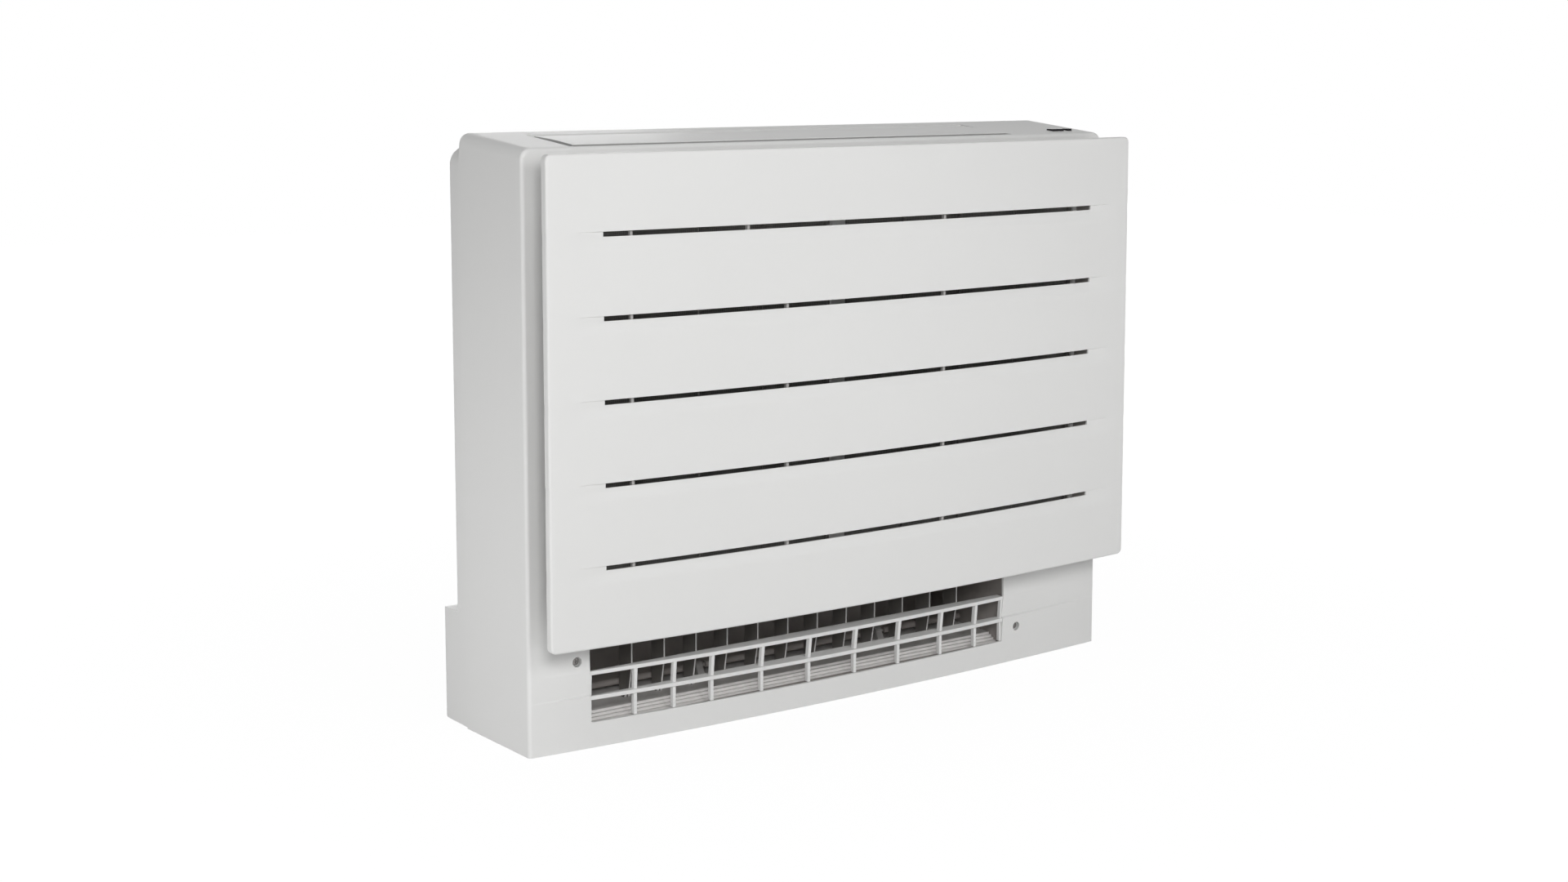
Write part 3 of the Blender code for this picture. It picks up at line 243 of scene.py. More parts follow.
def smooth(piece, degrees=32):
    """Smooth shading, with edges kept sharp above an angle and the large flats kept flat."""
    only(piece)
    bpy.ops.object.shade_smooth_by_angle(angle=math.radians(degrees))
    apply(piece, "WEIGHTED_NORMAL", keep_sharp=True)


def combine(piece, other, operation):
    """Takes another piece out of this one or melts it into it, and removes it."""
    apply(piece, "BOOLEAN", operation=operation, object=other, solver="EXACT")
    bpy.data.objects.remove(other, do_unlink=True)


def cut(piece, *cutters):
    """Takes each cutter's space out of a piece."""
    for cutter in cutters:
        combine(piece, cutter, "DIFFERENCE")


def gather(name, pieces):
    """Joins several objects into one mesh."""
    bpy.ops.object.select_all(action="DESELECT")
    for piece in pieces:
        piece.select_set(True)
    bpy.context.view_layer.objects.active = pieces[0]
    bpy.ops.object.join()
    return settle(name)


print("modifier helpers ready")

# %% [markdown]
# ## Finishes, the toolkit
# A finish is a small tree of nodes. Writing node sums as plain Python keeps them readable: a Value is one
# output socket, and each operator on it adds the Math node that does the sum. A tree has one method that
# adds any other node, with its settings first and then the values or links of its sockets.


# %% Sums on sockets
class Value:
    """One output socket, on which the usual operators add Math nodes."""

    def __init__(self, tree, socket):
        self.tree, self.socket = tree, socket

    def math(self, operation, left, right):
        return self.tree.node("ShaderNodeMath", {"operation": operation}, {0: left, 1: right})

    def __add__(self, other):
        return self.math("ADD", self, other)

    def __radd__(self, other):
        return self.math("ADD", other, self)

    def __sub__(self, other):
        return self.math("SUBTRACT", self, other)

    def __rsub__(self, other):
        return self.math("SUBTRACT", other, self)

    def __mul__(self, other):
        return self.math("MULTIPLY", self, other)

    def __rmul__(self, other):
        return self.math("MULTIPLY", other, self)

    def __gt__(self, other):
        return self.math("GREATER_THAN", self, other)

    def __lt__(self, other):
        return self.math("LESS_THAN", self, other)


print("sums on sockets ready")


# %% Trees and finishes
class Tree:
    """A node tree, with one method that adds any node."""

    def __init__(self, tree):
        self.nodes, self.links = tree.nodes, tree.links

    def node(self, kind, settings=None, values=None, out=0):
        made = self.nodes.new(kind)
        for key, value in (settings or {}).items():
            setattr(made, key, value)
        for key, value in (values or {}).items():
            self.feed(made.inputs[key], value)
        return Value(self, made.outputs[out])

    def feed(self, socket, value):
        if isinstance(value, Value):
            self.links.new(value.socket, socket)
        else:
            socket.default_value = value


class Finish(Tree):
    """A material on the way, with its shader and the patterns that several finishes share."""

    def __init__(self, name, roughness=0.4, metallic=0.0, specular=0.5):
        self.material = bpy.data.materials.new(name)
        self.material.use_nodes = True
        super().__init__(self.material.node_tree)
        self.shader = self.nodes["Principled BSDF"]
        self.set("Roughness", roughness)
        self.set("Metallic", metallic)
        self.set("Specular IOR Level", specular)
        self.place = self.node("ShaderNodeTexCoord", out="Object")

    def set(self, name, value):
        """Feeds one socket of the shader."""
        self.feed(self.shader.inputs[name], value)

    def along(self, axis):
        """One coordinate of the surface point."""
        return self.node("ShaderNodeSeparateXYZ", {}, {0: self.place}, out=axis)

    def noise(self, scale, detail=2.0):
        return self.node("ShaderNodeTexNoise", {}, {"Vector": self.place, "Scale": scale, "Detail": detail})

    def blend(self, share, first, second):
        """A colour between two, by a share from 0 to 1."""
        values = {0: share, 6: (*first, 1), 7: (*second, 1)}
        return self.node("ShaderNodeMix", {"data_type": "RGBA"}, values, out=2)

    def stripes(self, axis, pitch):
        """Waves from 0 to 1 along one axis, one every pitch."""
        phase = self.along(axis) * (2 * math.pi / pitch)
        return self.node("ShaderNodeMath", {"operation": "SINE"}, {0: phase}) * 0.5 + 0.5

    def bump(self, height, strength, distance):
        values = {"Height": height, "Strength": strength, "Distance": distance}
        self.set("Normal", self.node("ShaderNodeBump", {}, values))


print("toolkit ready")

# %% [markdown]
# ## Finishes, the plastics
# The whole shell is one satin white plastic. Moulded plastic is never quite even: its gloss drifts a little
# over the surface and a fine spark grain from the mould breaks up the reflections. A picture could carry
# both, but noise does it at any distance, far too faint to see as a pattern. The same idea serves the grey
# and the dark plastics. The outlet's floor is a lighter grey, and the guide vanes are dark with a painted
# highlight: a paler colour on their faces that look forward, where the light catches them.


# %% White, grey and dark plastic
def plastic(name, colour, roughness, grain, specular=0.5, drift=0.04):
    """Moulded plastic: an even colour, a slowly drifting gloss and a fine grain."""
    finish = Finish(name, specular=specular)
    cloud = finish.noise(9.0, 3.0)
    finish.set("Roughness", roughness - drift / 2 + cloud * drift)
    darker = tuple(c * 0.975 for c in colour)
    finish.set("Base Color", finish.blend(finish.noise(4.0), colour, darker))
    finish.bump(finish.noise(1400.0, 1.0), 0.12, grain)
    return finish


white = plastic("satin_white_plastic", (0.86, 0.86, 0.85), 0.40, 0.00012, specular=0.07)
grey = plastic("matt_grey_plastic", (0.45, 0.44, 0.43), 0.55, 0.0002, specular=0.3)
dark = plastic("dark_duct_plastic", (0.36, 0.335, 0.32), 0.62, 0.0004, specular=0.2)
floor_grey = plastic("grooved_grey_floor", (0.76, 0.745, 0.73), 0.5, 0.0002, specular=0.3)

# The vanes' own plastic is dark; the pale colour is a painted highlight, given to the faces that look
# forward.
VANE_DARK, VANE_PAINTED_HIGHLIGHT = (0.2, 0.19, 0.18), (0.75, 0.74, 0.73)
vane = plastic("guide_vane_plastic", VANE_DARK, 0.5, 0.0002, specular=0.3)
normal = vane.node("ShaderNodeNewGeometry", out="Normal")
forward = vane.node("ShaderNodeSeparateXYZ", {}, {0: normal}, out="Y") < -0.5
vane.set("Base Color", vane.blend(forward, VANE_DARK, VANE_PAINTED_HIGHLIGHT))
print("plastics:", [finish.material.name for finish in (white, grey, dark, floor_grey, vane)])

# %% [markdown]
# ## Finishes, net, fins, window and screws
# The filter is a woven net, so two sets of stripes cross and the lighter threads stand out of gaps that
# are painted dark, as painted shade from behind the net. The heat exchanger is a pack of thin aluminium
# fins a little over a millimetre apart, too many to model behind a net that hides most of them, and stripes
# with a bump show them, with painted shade in the gaps between the fins. The display sits behind a smooth
# dark window, and the screws are plated steel with a turned grain.

# %% Net, fins, window and steel
THREAD_PITCH, FIN_PITCH = 0.0016, 0.0014
net = Finish("woven_filter_net", roughness=0.7, specular=0.3)
wefts, warps = net.stripes("X", THREAD_PITCH), net.stripes("Z", THREAD_PITCH)
threads = net.node("ShaderNodeMath", {"operation": "MAXIMUM"}, {0: wefts, 1: warps})
# The gaps between the threads are painted dark: painted shade from behind the net.
net.set("Base Color", net.blend(threads > 0.8, (0.14, 0.135, 0.13), (0.34, 0.33, 0.32)))
net.bump(threads, 0.4, 0.0003)

fins = Finish("aluminium_fins", metallic=1.0)
fin_wave = fins.stripes("X", FIN_PITCH)
# The dark parts of the stripes are painted shade in the gaps between the fins; the light parts are the fins'
# aluminium.
fins.set("Base Color", fins.blend(fin_wave, (0.20, 0.21, 0.22), (0.80, 0.81, 0.82)))
fins.set("Roughness", 0.32 + fins.noise(60.0) * 0.15)
fins.bump(fin_wave, 0.6, 0.0006)

window = Finish("dark_window", specular=0.12)
window.set("Roughness", 0.16 + window.noise(40.0) * 0.05)
window.set("Base Color", window.blend(window.noise(90.0), (0.012, 0.012, 0.014), (0.022, 0.02, 0.024)))

steel = Finish("plated_steel", metallic=1.0)
steel.set("Base Color", steel.blend(steel.noise(600.0), (0.16, 0.155, 0.15), (0.30, 0.29, 0.28)))
steel.set("Roughness", 0.28 + steel.noise(900.0) * 0.15)
print("finishes: net, fins, window, steel")

# %% [markdown]
# ## Who wears what
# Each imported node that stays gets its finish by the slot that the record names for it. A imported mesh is
# loose triangles, so a Weld modifier joins them first, then a small Bevel softens the edges that a mould
# would also round, and weighted normals keep the flats flat.

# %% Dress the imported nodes
FINISH_OF_SLOT = {
    "white_plastic": white,
    "grey_plastic": grey,
    "dark_plastic": dark,
    "filter_mesh": net,
    "coil_metal": fins,
    "dark_window": window,
}
# The lower damper gets the dark plastic instead of the finish of its slot, as painted shade, so it stays
# dark inside the outlet.
FINISH_OF_NODE = {"outlet_floor": floor_grey, "lower_damper": dark}
slot_of = {row["node"]: row["material_slot"] for row in frame["record"]["subparts"]}
for name, node in frame["nodes"].items():
    finish = vane if name.startswith("guide_vane") else FINISH_OF_SLOT[slot_of[name]]
    node.data.materials.clear()
    node.data.materials.append(FINISH_OF_NODE.get(name, finish).material)
    weld = node.modifiers.new("weld", "WELD")
    weld.merge_threshold = 0.00002
    bevel = node.modifiers.new("bevel", "BEVEL")
    bevel.width, bevel.segments, bevel.limit_method = 0.0004, 2, "ANGLE"
    bevel.angle_limit = math.radians(35)
    normals = node.modifiers.new("normals", "WEIGHTED_NORMAL")
    normals.keep_sharp = True
print("dressed", len(frame["nodes"]), "nodes")


# %% Dress a new piece
def dress(piece, body, finish, slot, *nodes):
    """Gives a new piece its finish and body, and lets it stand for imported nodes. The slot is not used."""
    piece.data.materials.clear()
    piece.data.materials.append(finish.material)
    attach(piece, body)
    if nodes:
        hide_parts(*nodes)
    print(piece.name, len(piece.data.polygons), "faces on", body)


print("slots to dress with:", sorted(FINISH_OF_SLOT))

# %% [markdown]
# ## Front panel, the face
# The real panel is one moulded sheet, bowed in plan, which looks like six boards that lap over each other:
# each board's top dives behind the lower edge of the board above, and the intake slit is in that step. It
# could be six bent boards side by side, but a sheet like this has one upright profile everywhere. So the
# profile is drawn once, by extruding one vertex up along it, and is then spun about a far upright axis,
# which gives the bow and the columns at once.

# %% Draw the profile and spin it
PANEL_HALF, PANEL_LOW, PANEL_HIGH = 0.371, 0.1124, 0.5848
PANEL_NOSE, PANEL_BOW = -0.119, 0.0171
FIRST_SLIT, SLIT_PITCH, SLITS = 0.0734, 0.0798, 5
SLIT_TOPS = [PANEL_HIGH - FIRST_SLIT - i * SLIT_PITCH for i in range(SLITS)]
SLIT_HEIGHT, SLIT_RECESS, RECESS_HEIGHT, SLIT_FADE = 0.0052, 0.0028, 0.018, 0.036
SLIT_HALF, BOARD_EDGE, BOARD_LIP, PLAIN_EDGE = 0.3115, 0.0004, 0.004, 0.009
PANEL_COLUMNS = 90
bow_radius = (PANEL_HALF**2 + PANEL_BOW**2) / (2 * PANEL_BOW)
bow_centre = Vector((0, PANEL_NOSE + bow_radius, 0))
end_angle = math.asin(PANEL_HALF / bow_radius)


def panel_face(x):
    """The panel's outer surface at x, in plan."""
    return bow_centre.y - math.sqrt(bow_radius**2 - x**2)


def board_profile():
    """Heights from below upwards, each with how far the surface lies back there."""
    points = [(PANEL_LOW, 0.0), (PANEL_LOW + PLAIN_EDGE, 0.0)]
    ease = [(share, 0.5 - 0.5 * math.cos(math.pi * share)) for share in (0, 0.2, 0.4, 0.6, 0.8, 1)]
    rise = RECESS_HEIGHT - SLIT_HEIGHT
    for top in reversed(SLIT_TOPS):
        points += [(top - RECESS_HEIGHT + share * rise, SLIT_RECESS * back) for share, back in ease]
        points += [(top - BOARD_EDGE, SLIT_RECESS), (top, 0.0), (top + BOARD_LIP, 0.0)]
    return points + [(PANEL_HIGH - PLAIN_EDGE, 0.0), (PANEL_HIGH, 0.0)]


def draw_line(name, spots):
    """Extrudes one vertex from spot to spot, and stays in edit mode with the line selected."""
    bpy.ops.object.select_all(action="DESELECT")
    bpy.ops.mesh.primitive_plane_add(size=0.001, location=spots[0])
    line = settle(name)
    edit(line)
    bpy.ops.mesh.select_all(action="SELECT")
    bpy.ops.mesh.merge(type="CENTER")
    for here, there in zip(spots, spots[1:]):
        bpy.ops.mesh.extrude_region_move(TRANSFORM_OT_translate={"value": there - here})
    bpy.ops.mesh.select_all(action="SELECT")
    return line


inward = Vector((math.sin(end_angle), math.cos(end_angle), 0))
spots = [bow_centre - inward * (bow_radius - back) + Vector((0, 0, z)) for z, back in board_profile()]
panel = draw_line("panel_face", spots)
bpy.ops.mesh.spin(steps=PANEL_COLUMNS, angle=-2 * end_angle, center=bow_centre, axis=(0, 0, 1))
xs = places(0)
print("spun", len(spots), "points from", xs[0], "to", xs[-1])

# %% [markdown]
# ## Front panel, the fading grooves
# On the real panel the steps between the boards melt into a plain surface towards the sides. Each column of
# points past a slit's end is squeezed back towards the face with resize, by a share that falls to nothing.
# Proportional editing would fade the slits' ends too. Resize needs its own centre here, which is the face
# at that column. Then the faces in the slits are deleted.

# %% Fade the grooves, open the slits
def fade(x):
    """The share of the step that is left at x."""
    past = min(1.0, max(0.0, (abs(x) - SLIT_HALF) / SLIT_FADE))
    return 0.5 + 0.5 * math.cos(math.pi * past)


column_angle = 2 * end_angle / PANEL_COLUMNS
faded = 0
for angle in [-end_angle + i * column_angle for i in range(PANEL_COLUMNS + 1)]:
    x = bow_radius * math.sin(angle)
    if abs(x) > SLIT_HALF:
        pick("VERT", lambda p: near(math.atan2(p.x, bow_centre.y - p.y), angle, column_angle / 4))
        centre = (x, panel_face(x), 0)
        bpy.ops.transform.resize(value=(1, max(fade(x), 0.001), 1), center_override=centre)
        faded += 1


def in_slit(p):
    return abs(p.x) < SLIT_HALF and any(top - SLIT_HEIGHT < p.z < top - BOARD_EDGE for top in SLIT_TOPS)


for side in (-1, 1):
    slice_at(0, side * SLIT_HALF)
opened = pick("FACE", in_slit)
bpy.ops.mesh.delete(type="FACE")
print("faded", faded, "columns and opened", opened, "faces")

# %% [markdown]
# ## Front panel, the rim and the thickness
# The four corners are rounded with a vertex bevel while the panel is still one thin face. The outer edge is
# then pulled straight back to make the rim, the fold is rounded with an edge bevel, and Solidify gives the
# sheet its wall. Every slit gets its inner walls from Solidify too, which cutting them later would not give.

# %% Round the corners, pull the rim, thicken
PANEL_WALL, RIM_DEPTH, RIM_ZONE = 0.0024, 0.0085, 0.0075
CORNER_ROUND, FOLD_ROUND = 0.006, 0.0022


def at_corner(p):
    at_end = min(abs(p.z - PANEL_LOW), abs(p.z - PANEL_HIGH)) < 1e-4
    return at_end and abs(abs(p.x) - PANEL_HALF) < 6e-4


def pick_rim(test):
    """Selects only those edges near the panel's outline that pass a test."""
    bpy.ops.mesh.select_mode(type="EDGE")
    bpy.ops.mesh.select_all(action="DESELECT")
    shape = bmesh.from_edit_mesh(panel.data)
    shape.normal_update()
    for edge in shape.edges:
        middle = (edge.verts[0].co + edge.verts[1].co) / 2
        inset = min(PANEL_HALF - abs(middle.x), middle.z - PANEL_LOW, PANEL_HIGH - middle.z)
        if inset < RIM_ZONE and test(edge):
            edge.select_set(True)
    bmesh.update_edit_mesh(panel.data)


def is_fold(edge):
    """True where the face meets the rim that was pulled back from it."""
    if len(edge.link_faces) != 2:
        return False
    first, second = (abs(face.normal.y) < 0.3 and face.calc_area() > 0 for face in edge.link_faces)
    return first != second


pick("VERT", at_corner)
bpy.ops.mesh.bevel(offset=CORNER_ROUND, segments=5, affect="VERTICES")
pick_rim(lambda edge: edge.is_boundary)
bpy.ops.mesh.extrude_region_move(TRANSFORM_OT_translate={"value": (0, RIM_DEPTH, 0)})
pick_rim(is_fold)
bpy.ops.mesh.bevel(offset=FOLD_ROUND, segments=4, affect="EDGES")
bpy.ops.mesh.select_all(action="SELECT")
bpy.ops.mesh.remove_doubles(threshold=0.00001)
turn_outward()
done()
chin_spot = Vector((0, PANEL_NOSE, 0.13))
chin_face = min(panel.data.polygons, key=lambda face: (face.center - chin_spot).length)
if chin_face.normal.y > 0:
    edit(panel)
    bpy.ops.mesh.select_all(action="SELECT")
    bpy.ops.mesh.flip_normals()
    done()
apply(panel, "SOLIDIFY", thickness=PANEL_WALL, offset=-1, use_even_offset=False)
soften(panel, 0.0005, degrees=40)
print("panel face:", len(panel.data.polygons), "faces")

# %% [markdown]
# ## Front panel, its ribs
# A slat would sag, so upright ribs tie the boards together from behind. They belong to the white panel, but
# they wear the grey plastic as painted shade, so they show as short grey bars in the slits. The middle rib
# is split: its upper run stands further left. A deeper rib closes each end of the slits off from the side,
# and wears the dark plastic as painted shade. A row of copies would need even steps, so each rib is a box at
# its place.

# %% Ribs
RIB_FRONT, RIB_BACK, END_RIB_BACK = 0.0045, 0.0087, 0.0265
RIB_HALF, END_RIB_HALF, END_RIB_X = 0.0015, 0.001, 0.3135


def rib(x, low, high, half=RIB_HALF, back=RIB_BACK):
    """One upright rib behind the slits, with its front edges rounded."""
    face = panel_face(x)
    made = block("rib", (x - half, face + RIB_FRONT, low), (x + half, face + back, high))
    soften(made, 0.0004)
    return made


rib_split = SLIT_TOPS[0] - 0.04
low, high = PANEL_LOW + 0.002, PANEL_HIGH - 0.002
runs = ((-0.281, low, high), (-0.105, low, rib_split), (-0.151, rib_split, high), (0.0965, low, high))
ribs = [rib(*run) for run in runs]
print("ribs at", [run[0] for run in runs])

# %% [markdown]
# ## Front panel, its hinge
# Two arms behind the bottom edge carry the pins on which the whole panel tips forward for cleaning the
# filters. Both could be built alike, but a mirror copy of one is sure to match. Such a copy can come out
# with its faces inside out, so they are made to look outwards again.

# %% Arms and pins
HINGE_X, HINGE_Y, HINGE_Z = 0.330, -0.0745, 0.1235
ARM_HALF, ARM_FRONT, ARM_LOW, ARM_HIGH, ARM_ROUND = 0.003, -0.1015, 0.1165, 0.1335, 0.0054
PIN_RADIUS, PIN_LENGTH = 0.0025, 0.0075
arm = block("arm", (HINGE_X - ARM_HALF, ARM_FRONT, ARM_LOW), (HINGE_X + ARM_HALF, HINGE_Y, ARM_HIGH))
edit(arm)
pick("EDGE", lambda p: near(p.y, HINGE_Y) and near(p.x, HINGE_X))
bpy.ops.mesh.bevel(offset=ARM_ROUND, segments=8, affect="EDGES")
done()
soften(arm, 0.0004)
pin_start = Vector((HINGE_X + 0.002, HINGE_Y, HINGE_Z))
pin = drum("pin", pin_start, pin_start + Vector((PIN_LENGTH, 0, 0)), PIN_RADIUS)
soften(pin, 0.0005)
arm_right = gather("arm_right", [arm, pin])
only(arm_right)
bpy.ops.object.duplicate()
bpy.ops.transform.mirror(constraint_axis=(True, False, False), center_override=(0, 0, 0))
arm_left = settle("arm_left")
edit(arm_left)
turn_outward()
done()
print("arms at", HINGE_X, "and", -HINGE_X)

# %% Join and dress the panel
# The ribs wear the grey plastic as painted shade, for the shade behind the boards.
ribs = gather("panel_ribs_painted_shade", ribs)
smooth(ribs, 30)
dress(ribs, "panel", grey, "grey_plastic")
low, high = SLIT_TOPS[-1] - 0.024, SLIT_TOPS[0] + 0.008
# The end ribs wear the dark plastic as painted shade, for their shaded sides seen through the slits.
ends = [rib(x, low, high, END_RIB_HALF, END_RIB_BACK) for x in (-END_RIB_X, END_RIB_X)]
ends = gather("panel_end_ribs_painted_shade", ends)
smooth(ends, 30)
dress(ends, "panel", dark, "dark_plastic")
panel = gather("front_panel_boards", [panel, arm_right, arm_left])
smooth(panel, 30)
dress(panel, "panel", white, "white_plastic", "front_panel")
print("panel box:", [round(c, 4) for c in panel.dimensions])

# %% [markdown]
# ## Casing, the shell
# The casing is one thin moulding, open below and behind. It could be lofted from sections, but a box keeps
# its flats true. The top slopes with the deck, the front is a little narrower than the back, and the edges
# are rounded with a bevel. The faces below and behind are deleted, down from a lip at the top of the back.

# %% A box becomes a rounded shell
REAR_LIP_LOW, ABOVE_SIDES = HEIGHT - 0.022, 0.58
SIDE_ROUND, FRONT_ROUND, REAR_ROUND = 0.0110, 0.0036, 0.0050
casing = block("casing_shell", (-REAR_HALF, CASING_FRONT, 0), (REAR_HALF, CASING_REAR, HEIGHT))
edit(casing)
pick("VERT", lambda p: near(p.y, CASING_FRONT) and p.z > HEIGHT / 2)
push(z=-DECK_RISE)
pick("VERT", lambda p: near(p.y, CASING_FRONT))
bpy.ops.transform.resize(value=(FRONT_HALF / REAR_HALF, 1, 1), center_override=(0, 0, 0))
pick("EDGE", lambda p: abs(p.x) > FRONT_HALF - 0.001 and p.z > ABOVE_SIDES)
bpy.ops.mesh.bevel(offset=SIDE_ROUND, segments=8, affect="EDGES")
pick("EDGE", lambda p: near(p.y, CASING_FRONT) and p.z > 0.001)
bpy.ops.mesh.bevel(offset=FRONT_ROUND, segments=5, affect="EDGES")
pick("EDGE", lambda p: near(p.y, CASING_REAR) and p.z > ABOVE_SIDES)
bpy.ops.mesh.bevel(offset=REAR_ROUND, segments=5, affect="EDGES")
slice_at(2, REAR_LIP_LOW)
pick("FACE", lambda p: near(p.z, 0) or (near(p.y, CASING_REAR) and p.z < REAR_LIP_LOW))
bpy.ops.mesh.delete(type="FACE")
print("rounded box:", len(casing.data.polygons))

# %% [markdown]
# ## Casing, the chin
# The two tiers and the crease between them fade out to the sides. Bisect cuts their levels and upright
# columns into the shell, and each column's points are pushed forward by the bow at their place. A lattice
# could bend the front too, but not with a step in it. Beside the outlet the tiers' upper edges stand out
# up to a millimetre more, so that the lines of the grille's bars run on over the casing.

# %% Push the chin forward
CHIN_COLUMNS = 64
LEDGE_LEVELS, LEDGE_REACH, LEDGE_DEPTH = (LOW_TIER_TOP, HIGH_TIER_TOP), 0.075, 0.0010


def ledge(x, z):
    """Beside the outlet the upper edges of the tiers stand out a little more, and fade to the sides."""
    gap = max(OUTLET_LEFT - x, x - OUTLET_RIGHT)
    if gap < 0 or gap > LEDGE_REACH or z not in LEDGE_LEVELS:
        return 0.0
    return LEDGE_DEPTH * (1 - gap / LEDGE_REACH)


for z, _ in CHIN_LEVELS[1:]:
    slice_at(2, z)
for i in range(1, CHIN_COLUMNS):
    slice_at(0, -FRONT_HALF + 2 * FRONT_HALF * i / CHIN_COLUMNS)
moved = 0
for z, bow in CHIN_LEVELS[:-1]:
    for x in places(0, lambda p: near(p.z, z) and p.y < CASING_FRONT + 0.001):
        amount = bow * (1 - (x / FRONT_HALF) ** 2) + ledge(x, z)
        if amount > 1e-5:
            moved += pick("VERT", lambda p: near(p.z, z) and near(p.x, x) and p.y < CASING_FRONT + 0.001)
            push(y=-amount)
turn_outward()
done()
print("pushed", moved, "points of the chin")

# %% [markdown]
# ## Casing, its openings
# Solidify gives the shell its wall, towards the inside. The outlet, the hole under the flap, the two intake
# bays, the beds of the windows and a fine groove behind the front lip are then cut through or into it with
# plain cutters, as a router would. Deleting faces would need their edges in the grid first.

# %% Cut the openings
CASING_WALL = 0.0028
BEFORE_CHIN, BEFORE_WALL, BEHIND_WALL = -0.1, -0.08, -0.03
HOLE_LEFT, HOLE_RIGHT, HOLE_FRONT, HOLE_BACK = -0.315, 0.243, -0.051, 0.0375
BELOW_DECK, ABOVE_DECK = 0.54, 0.65
BAY_NEAR, BAY_FAR, BAY_LOW, BAY_HIGH = 0.009, 0.330, 0.140, 0.528
WINDOW_FRONT, WINDOW_BACK, BED_DEPTH = -0.037, -0.025, 0.0016
DISPLAY_SPAN, RECEIVER_SPAN = (0.316, 0.333), (0.3385, 0.3465)
LIP_LOW, LIP_HIGH, LIP_DEPTH = 0.5792, 0.5800, 0.0007


def bay(side):
    """The cutter for the intake bay on one side of the middle bar."""
    ends = sorted((side * BAY_NEAR, side * BAY_FAR))
    return block("bay", (ends[0], BEFORE_WALL, BAY_LOW), (ends[1], BEHIND_WALL, BAY_HIGH))


def window_bed(left, right):
    """The cutter for a window's bed in the deck."""
    low = deck_height(WINDOW_FRONT) - BED_DEPTH
    return block("window_bed", (left, WINDOW_FRONT, low), (right, WINDOW_BACK, ABOVE_DECK))


apply(casing, "SOLIDIFY", thickness=CASING_WALL, offset=-1, use_even_offset=True)
cut(
    casing,
    block("outlet_room", (OUTLET_LEFT, BEFORE_CHIN, OUTLET_BOTTOM), (OUTLET_RIGHT, BEHIND_WALL, OUTLET_TOP)),
    block("deck_room", (HOLE_LEFT, HOLE_FRONT, BELOW_DECK), (HOLE_RIGHT, HOLE_BACK, ABOVE_DECK)),
    bay(-1),
    bay(1),
    window_bed(*DISPLAY_SPAN),
    window_bed(*RECEIVER_SPAN),
    block("lip_line", (-0.4, -0.06, LIP_LOW), (0.4, CASING_FRONT + LIP_DEPTH, LIP_HIGH)),
)
print("casing with its openings:", len(casing.data.polygons), "faces")

# %% [markdown]
# ## Casing, its edges
# The lower lip of the outlet is chamfered by hand, two round holes in the chin lead to the wells of the
# screws, and one bevel softens every edge that is left. The chin's creases are slight, so they are marked
# sharp, or smooth shading would hide them.

# %% Chamfer the lip, open the screw holes, mark the creases
SCREWS = ((-0.3205, 0.089), (0.242, 0.040))
SEAT_RADIUS = 0.0050
edit(casing)
pick("EDGE", lambda p: near(p.z, OUTLET_BOTTOM) and p.y < chin_front(p.x, OUTLET_BOTTOM) + 0.0012)
bpy.ops.mesh.bevel(offset=0.0016, segments=2, affect="EDGES")
done()
for x, z in SCREWS:
    front = chin_front(x, z)
    cut(casing, drum("screw_seat", (x, front - 0.01, z), (x, front + 0.01, z), SEAT_RADIUS, 40))
soften(casing, 0.0005, degrees=28)
edit(casing)
for crease in (LOW_TIER_TOP, HIGH_TIER_FOOT, HIGH_TIER_TOP):
    pick("EDGE", lambda p: near(p.z, crease, 1e-4) and near(p.y, chin_front(p.x, crease), 1.6e-3))
    bpy.ops.mesh.mark_sharp()
done()
smooth(casing, 30)
dress(casing, "unit", white, "white_plastic", "casing")
print("casing box:", [round(c, 4) for c in casing.dimensions])

# %% [markdown]
# ## Grille in the lower outlet
# Two deep bars cross the outlet, and their front edges carry on the lines of the chin's two tiers. A curve
# with a bevel could draw them, but their back is straight and only the front is bowed. So each bar is a
# long box, cut into columns, and the front of each column is pushed to the chin.

# %% Bars
BAR_BACK, BAR_HEIGHT, BAR_PROUD, BAR_COLUMNS = -0.0595, 0.0042, 0.0002, 48
BAR_LEVELS = (LOW_TIER_TOP, HIGH_TIER_TOP)
GRILLE_GAP = 0.0003


def grille_bar(top):
    """A bar with a straight back, whose front follows the chin."""
    start = BAR_BACK - 0.001
    left, right = OUTLET_LEFT + GRILLE_GAP, OUTLET_RIGHT - GRILLE_GAP
    made = block("bar", (left, start, top - BAR_HEIGHT), (right, BAR_BACK, top))
    edit(made)
    for i in range(1, BAR_COLUMNS):
        slice_at(0, OUTLET_LEFT + (OUTLET_RIGHT - OUTLET_LEFT) * i / BAR_COLUMNS)
    for x in places(0):
        for z in (top - BAR_HEIGHT, top):
            pick("VERT", lambda p: near(p.x, x) and near(p.z, z) and near(p.y, start))
            push(y=chin_front(x, z) + BAR_PROUD - start)
    done()
    soften(made, 0.0008, 3, 40)
    return made


bars = [grille_bar(top) for top in BAR_LEVELS]
print("bars:", [len(bar.data.polygons) for bar in bars])

# %% [markdown]
# ## Grille, its posts
# Slim posts stand between the bars: upright below the lower bar, and leaning forward above it, to reach the
# upper bar. One post is a box with one bisected level, and each further post is made the same way at its
# own place, because the lean follows the bow: an array of one post would miss the bars.

# %% Posts
CELLS = (0.051, 0.044, 0.044, 0.060, 0.059, 0.060, 0.059, 0.060, 0.051, 0.040)
POST_WIDTH, POST_DEPTH, POST_SET_BACK = 0.0036, 0.0055, 0.001
END_POST_EDGE, END_POST_DEPTH = 0.0028, 0.005


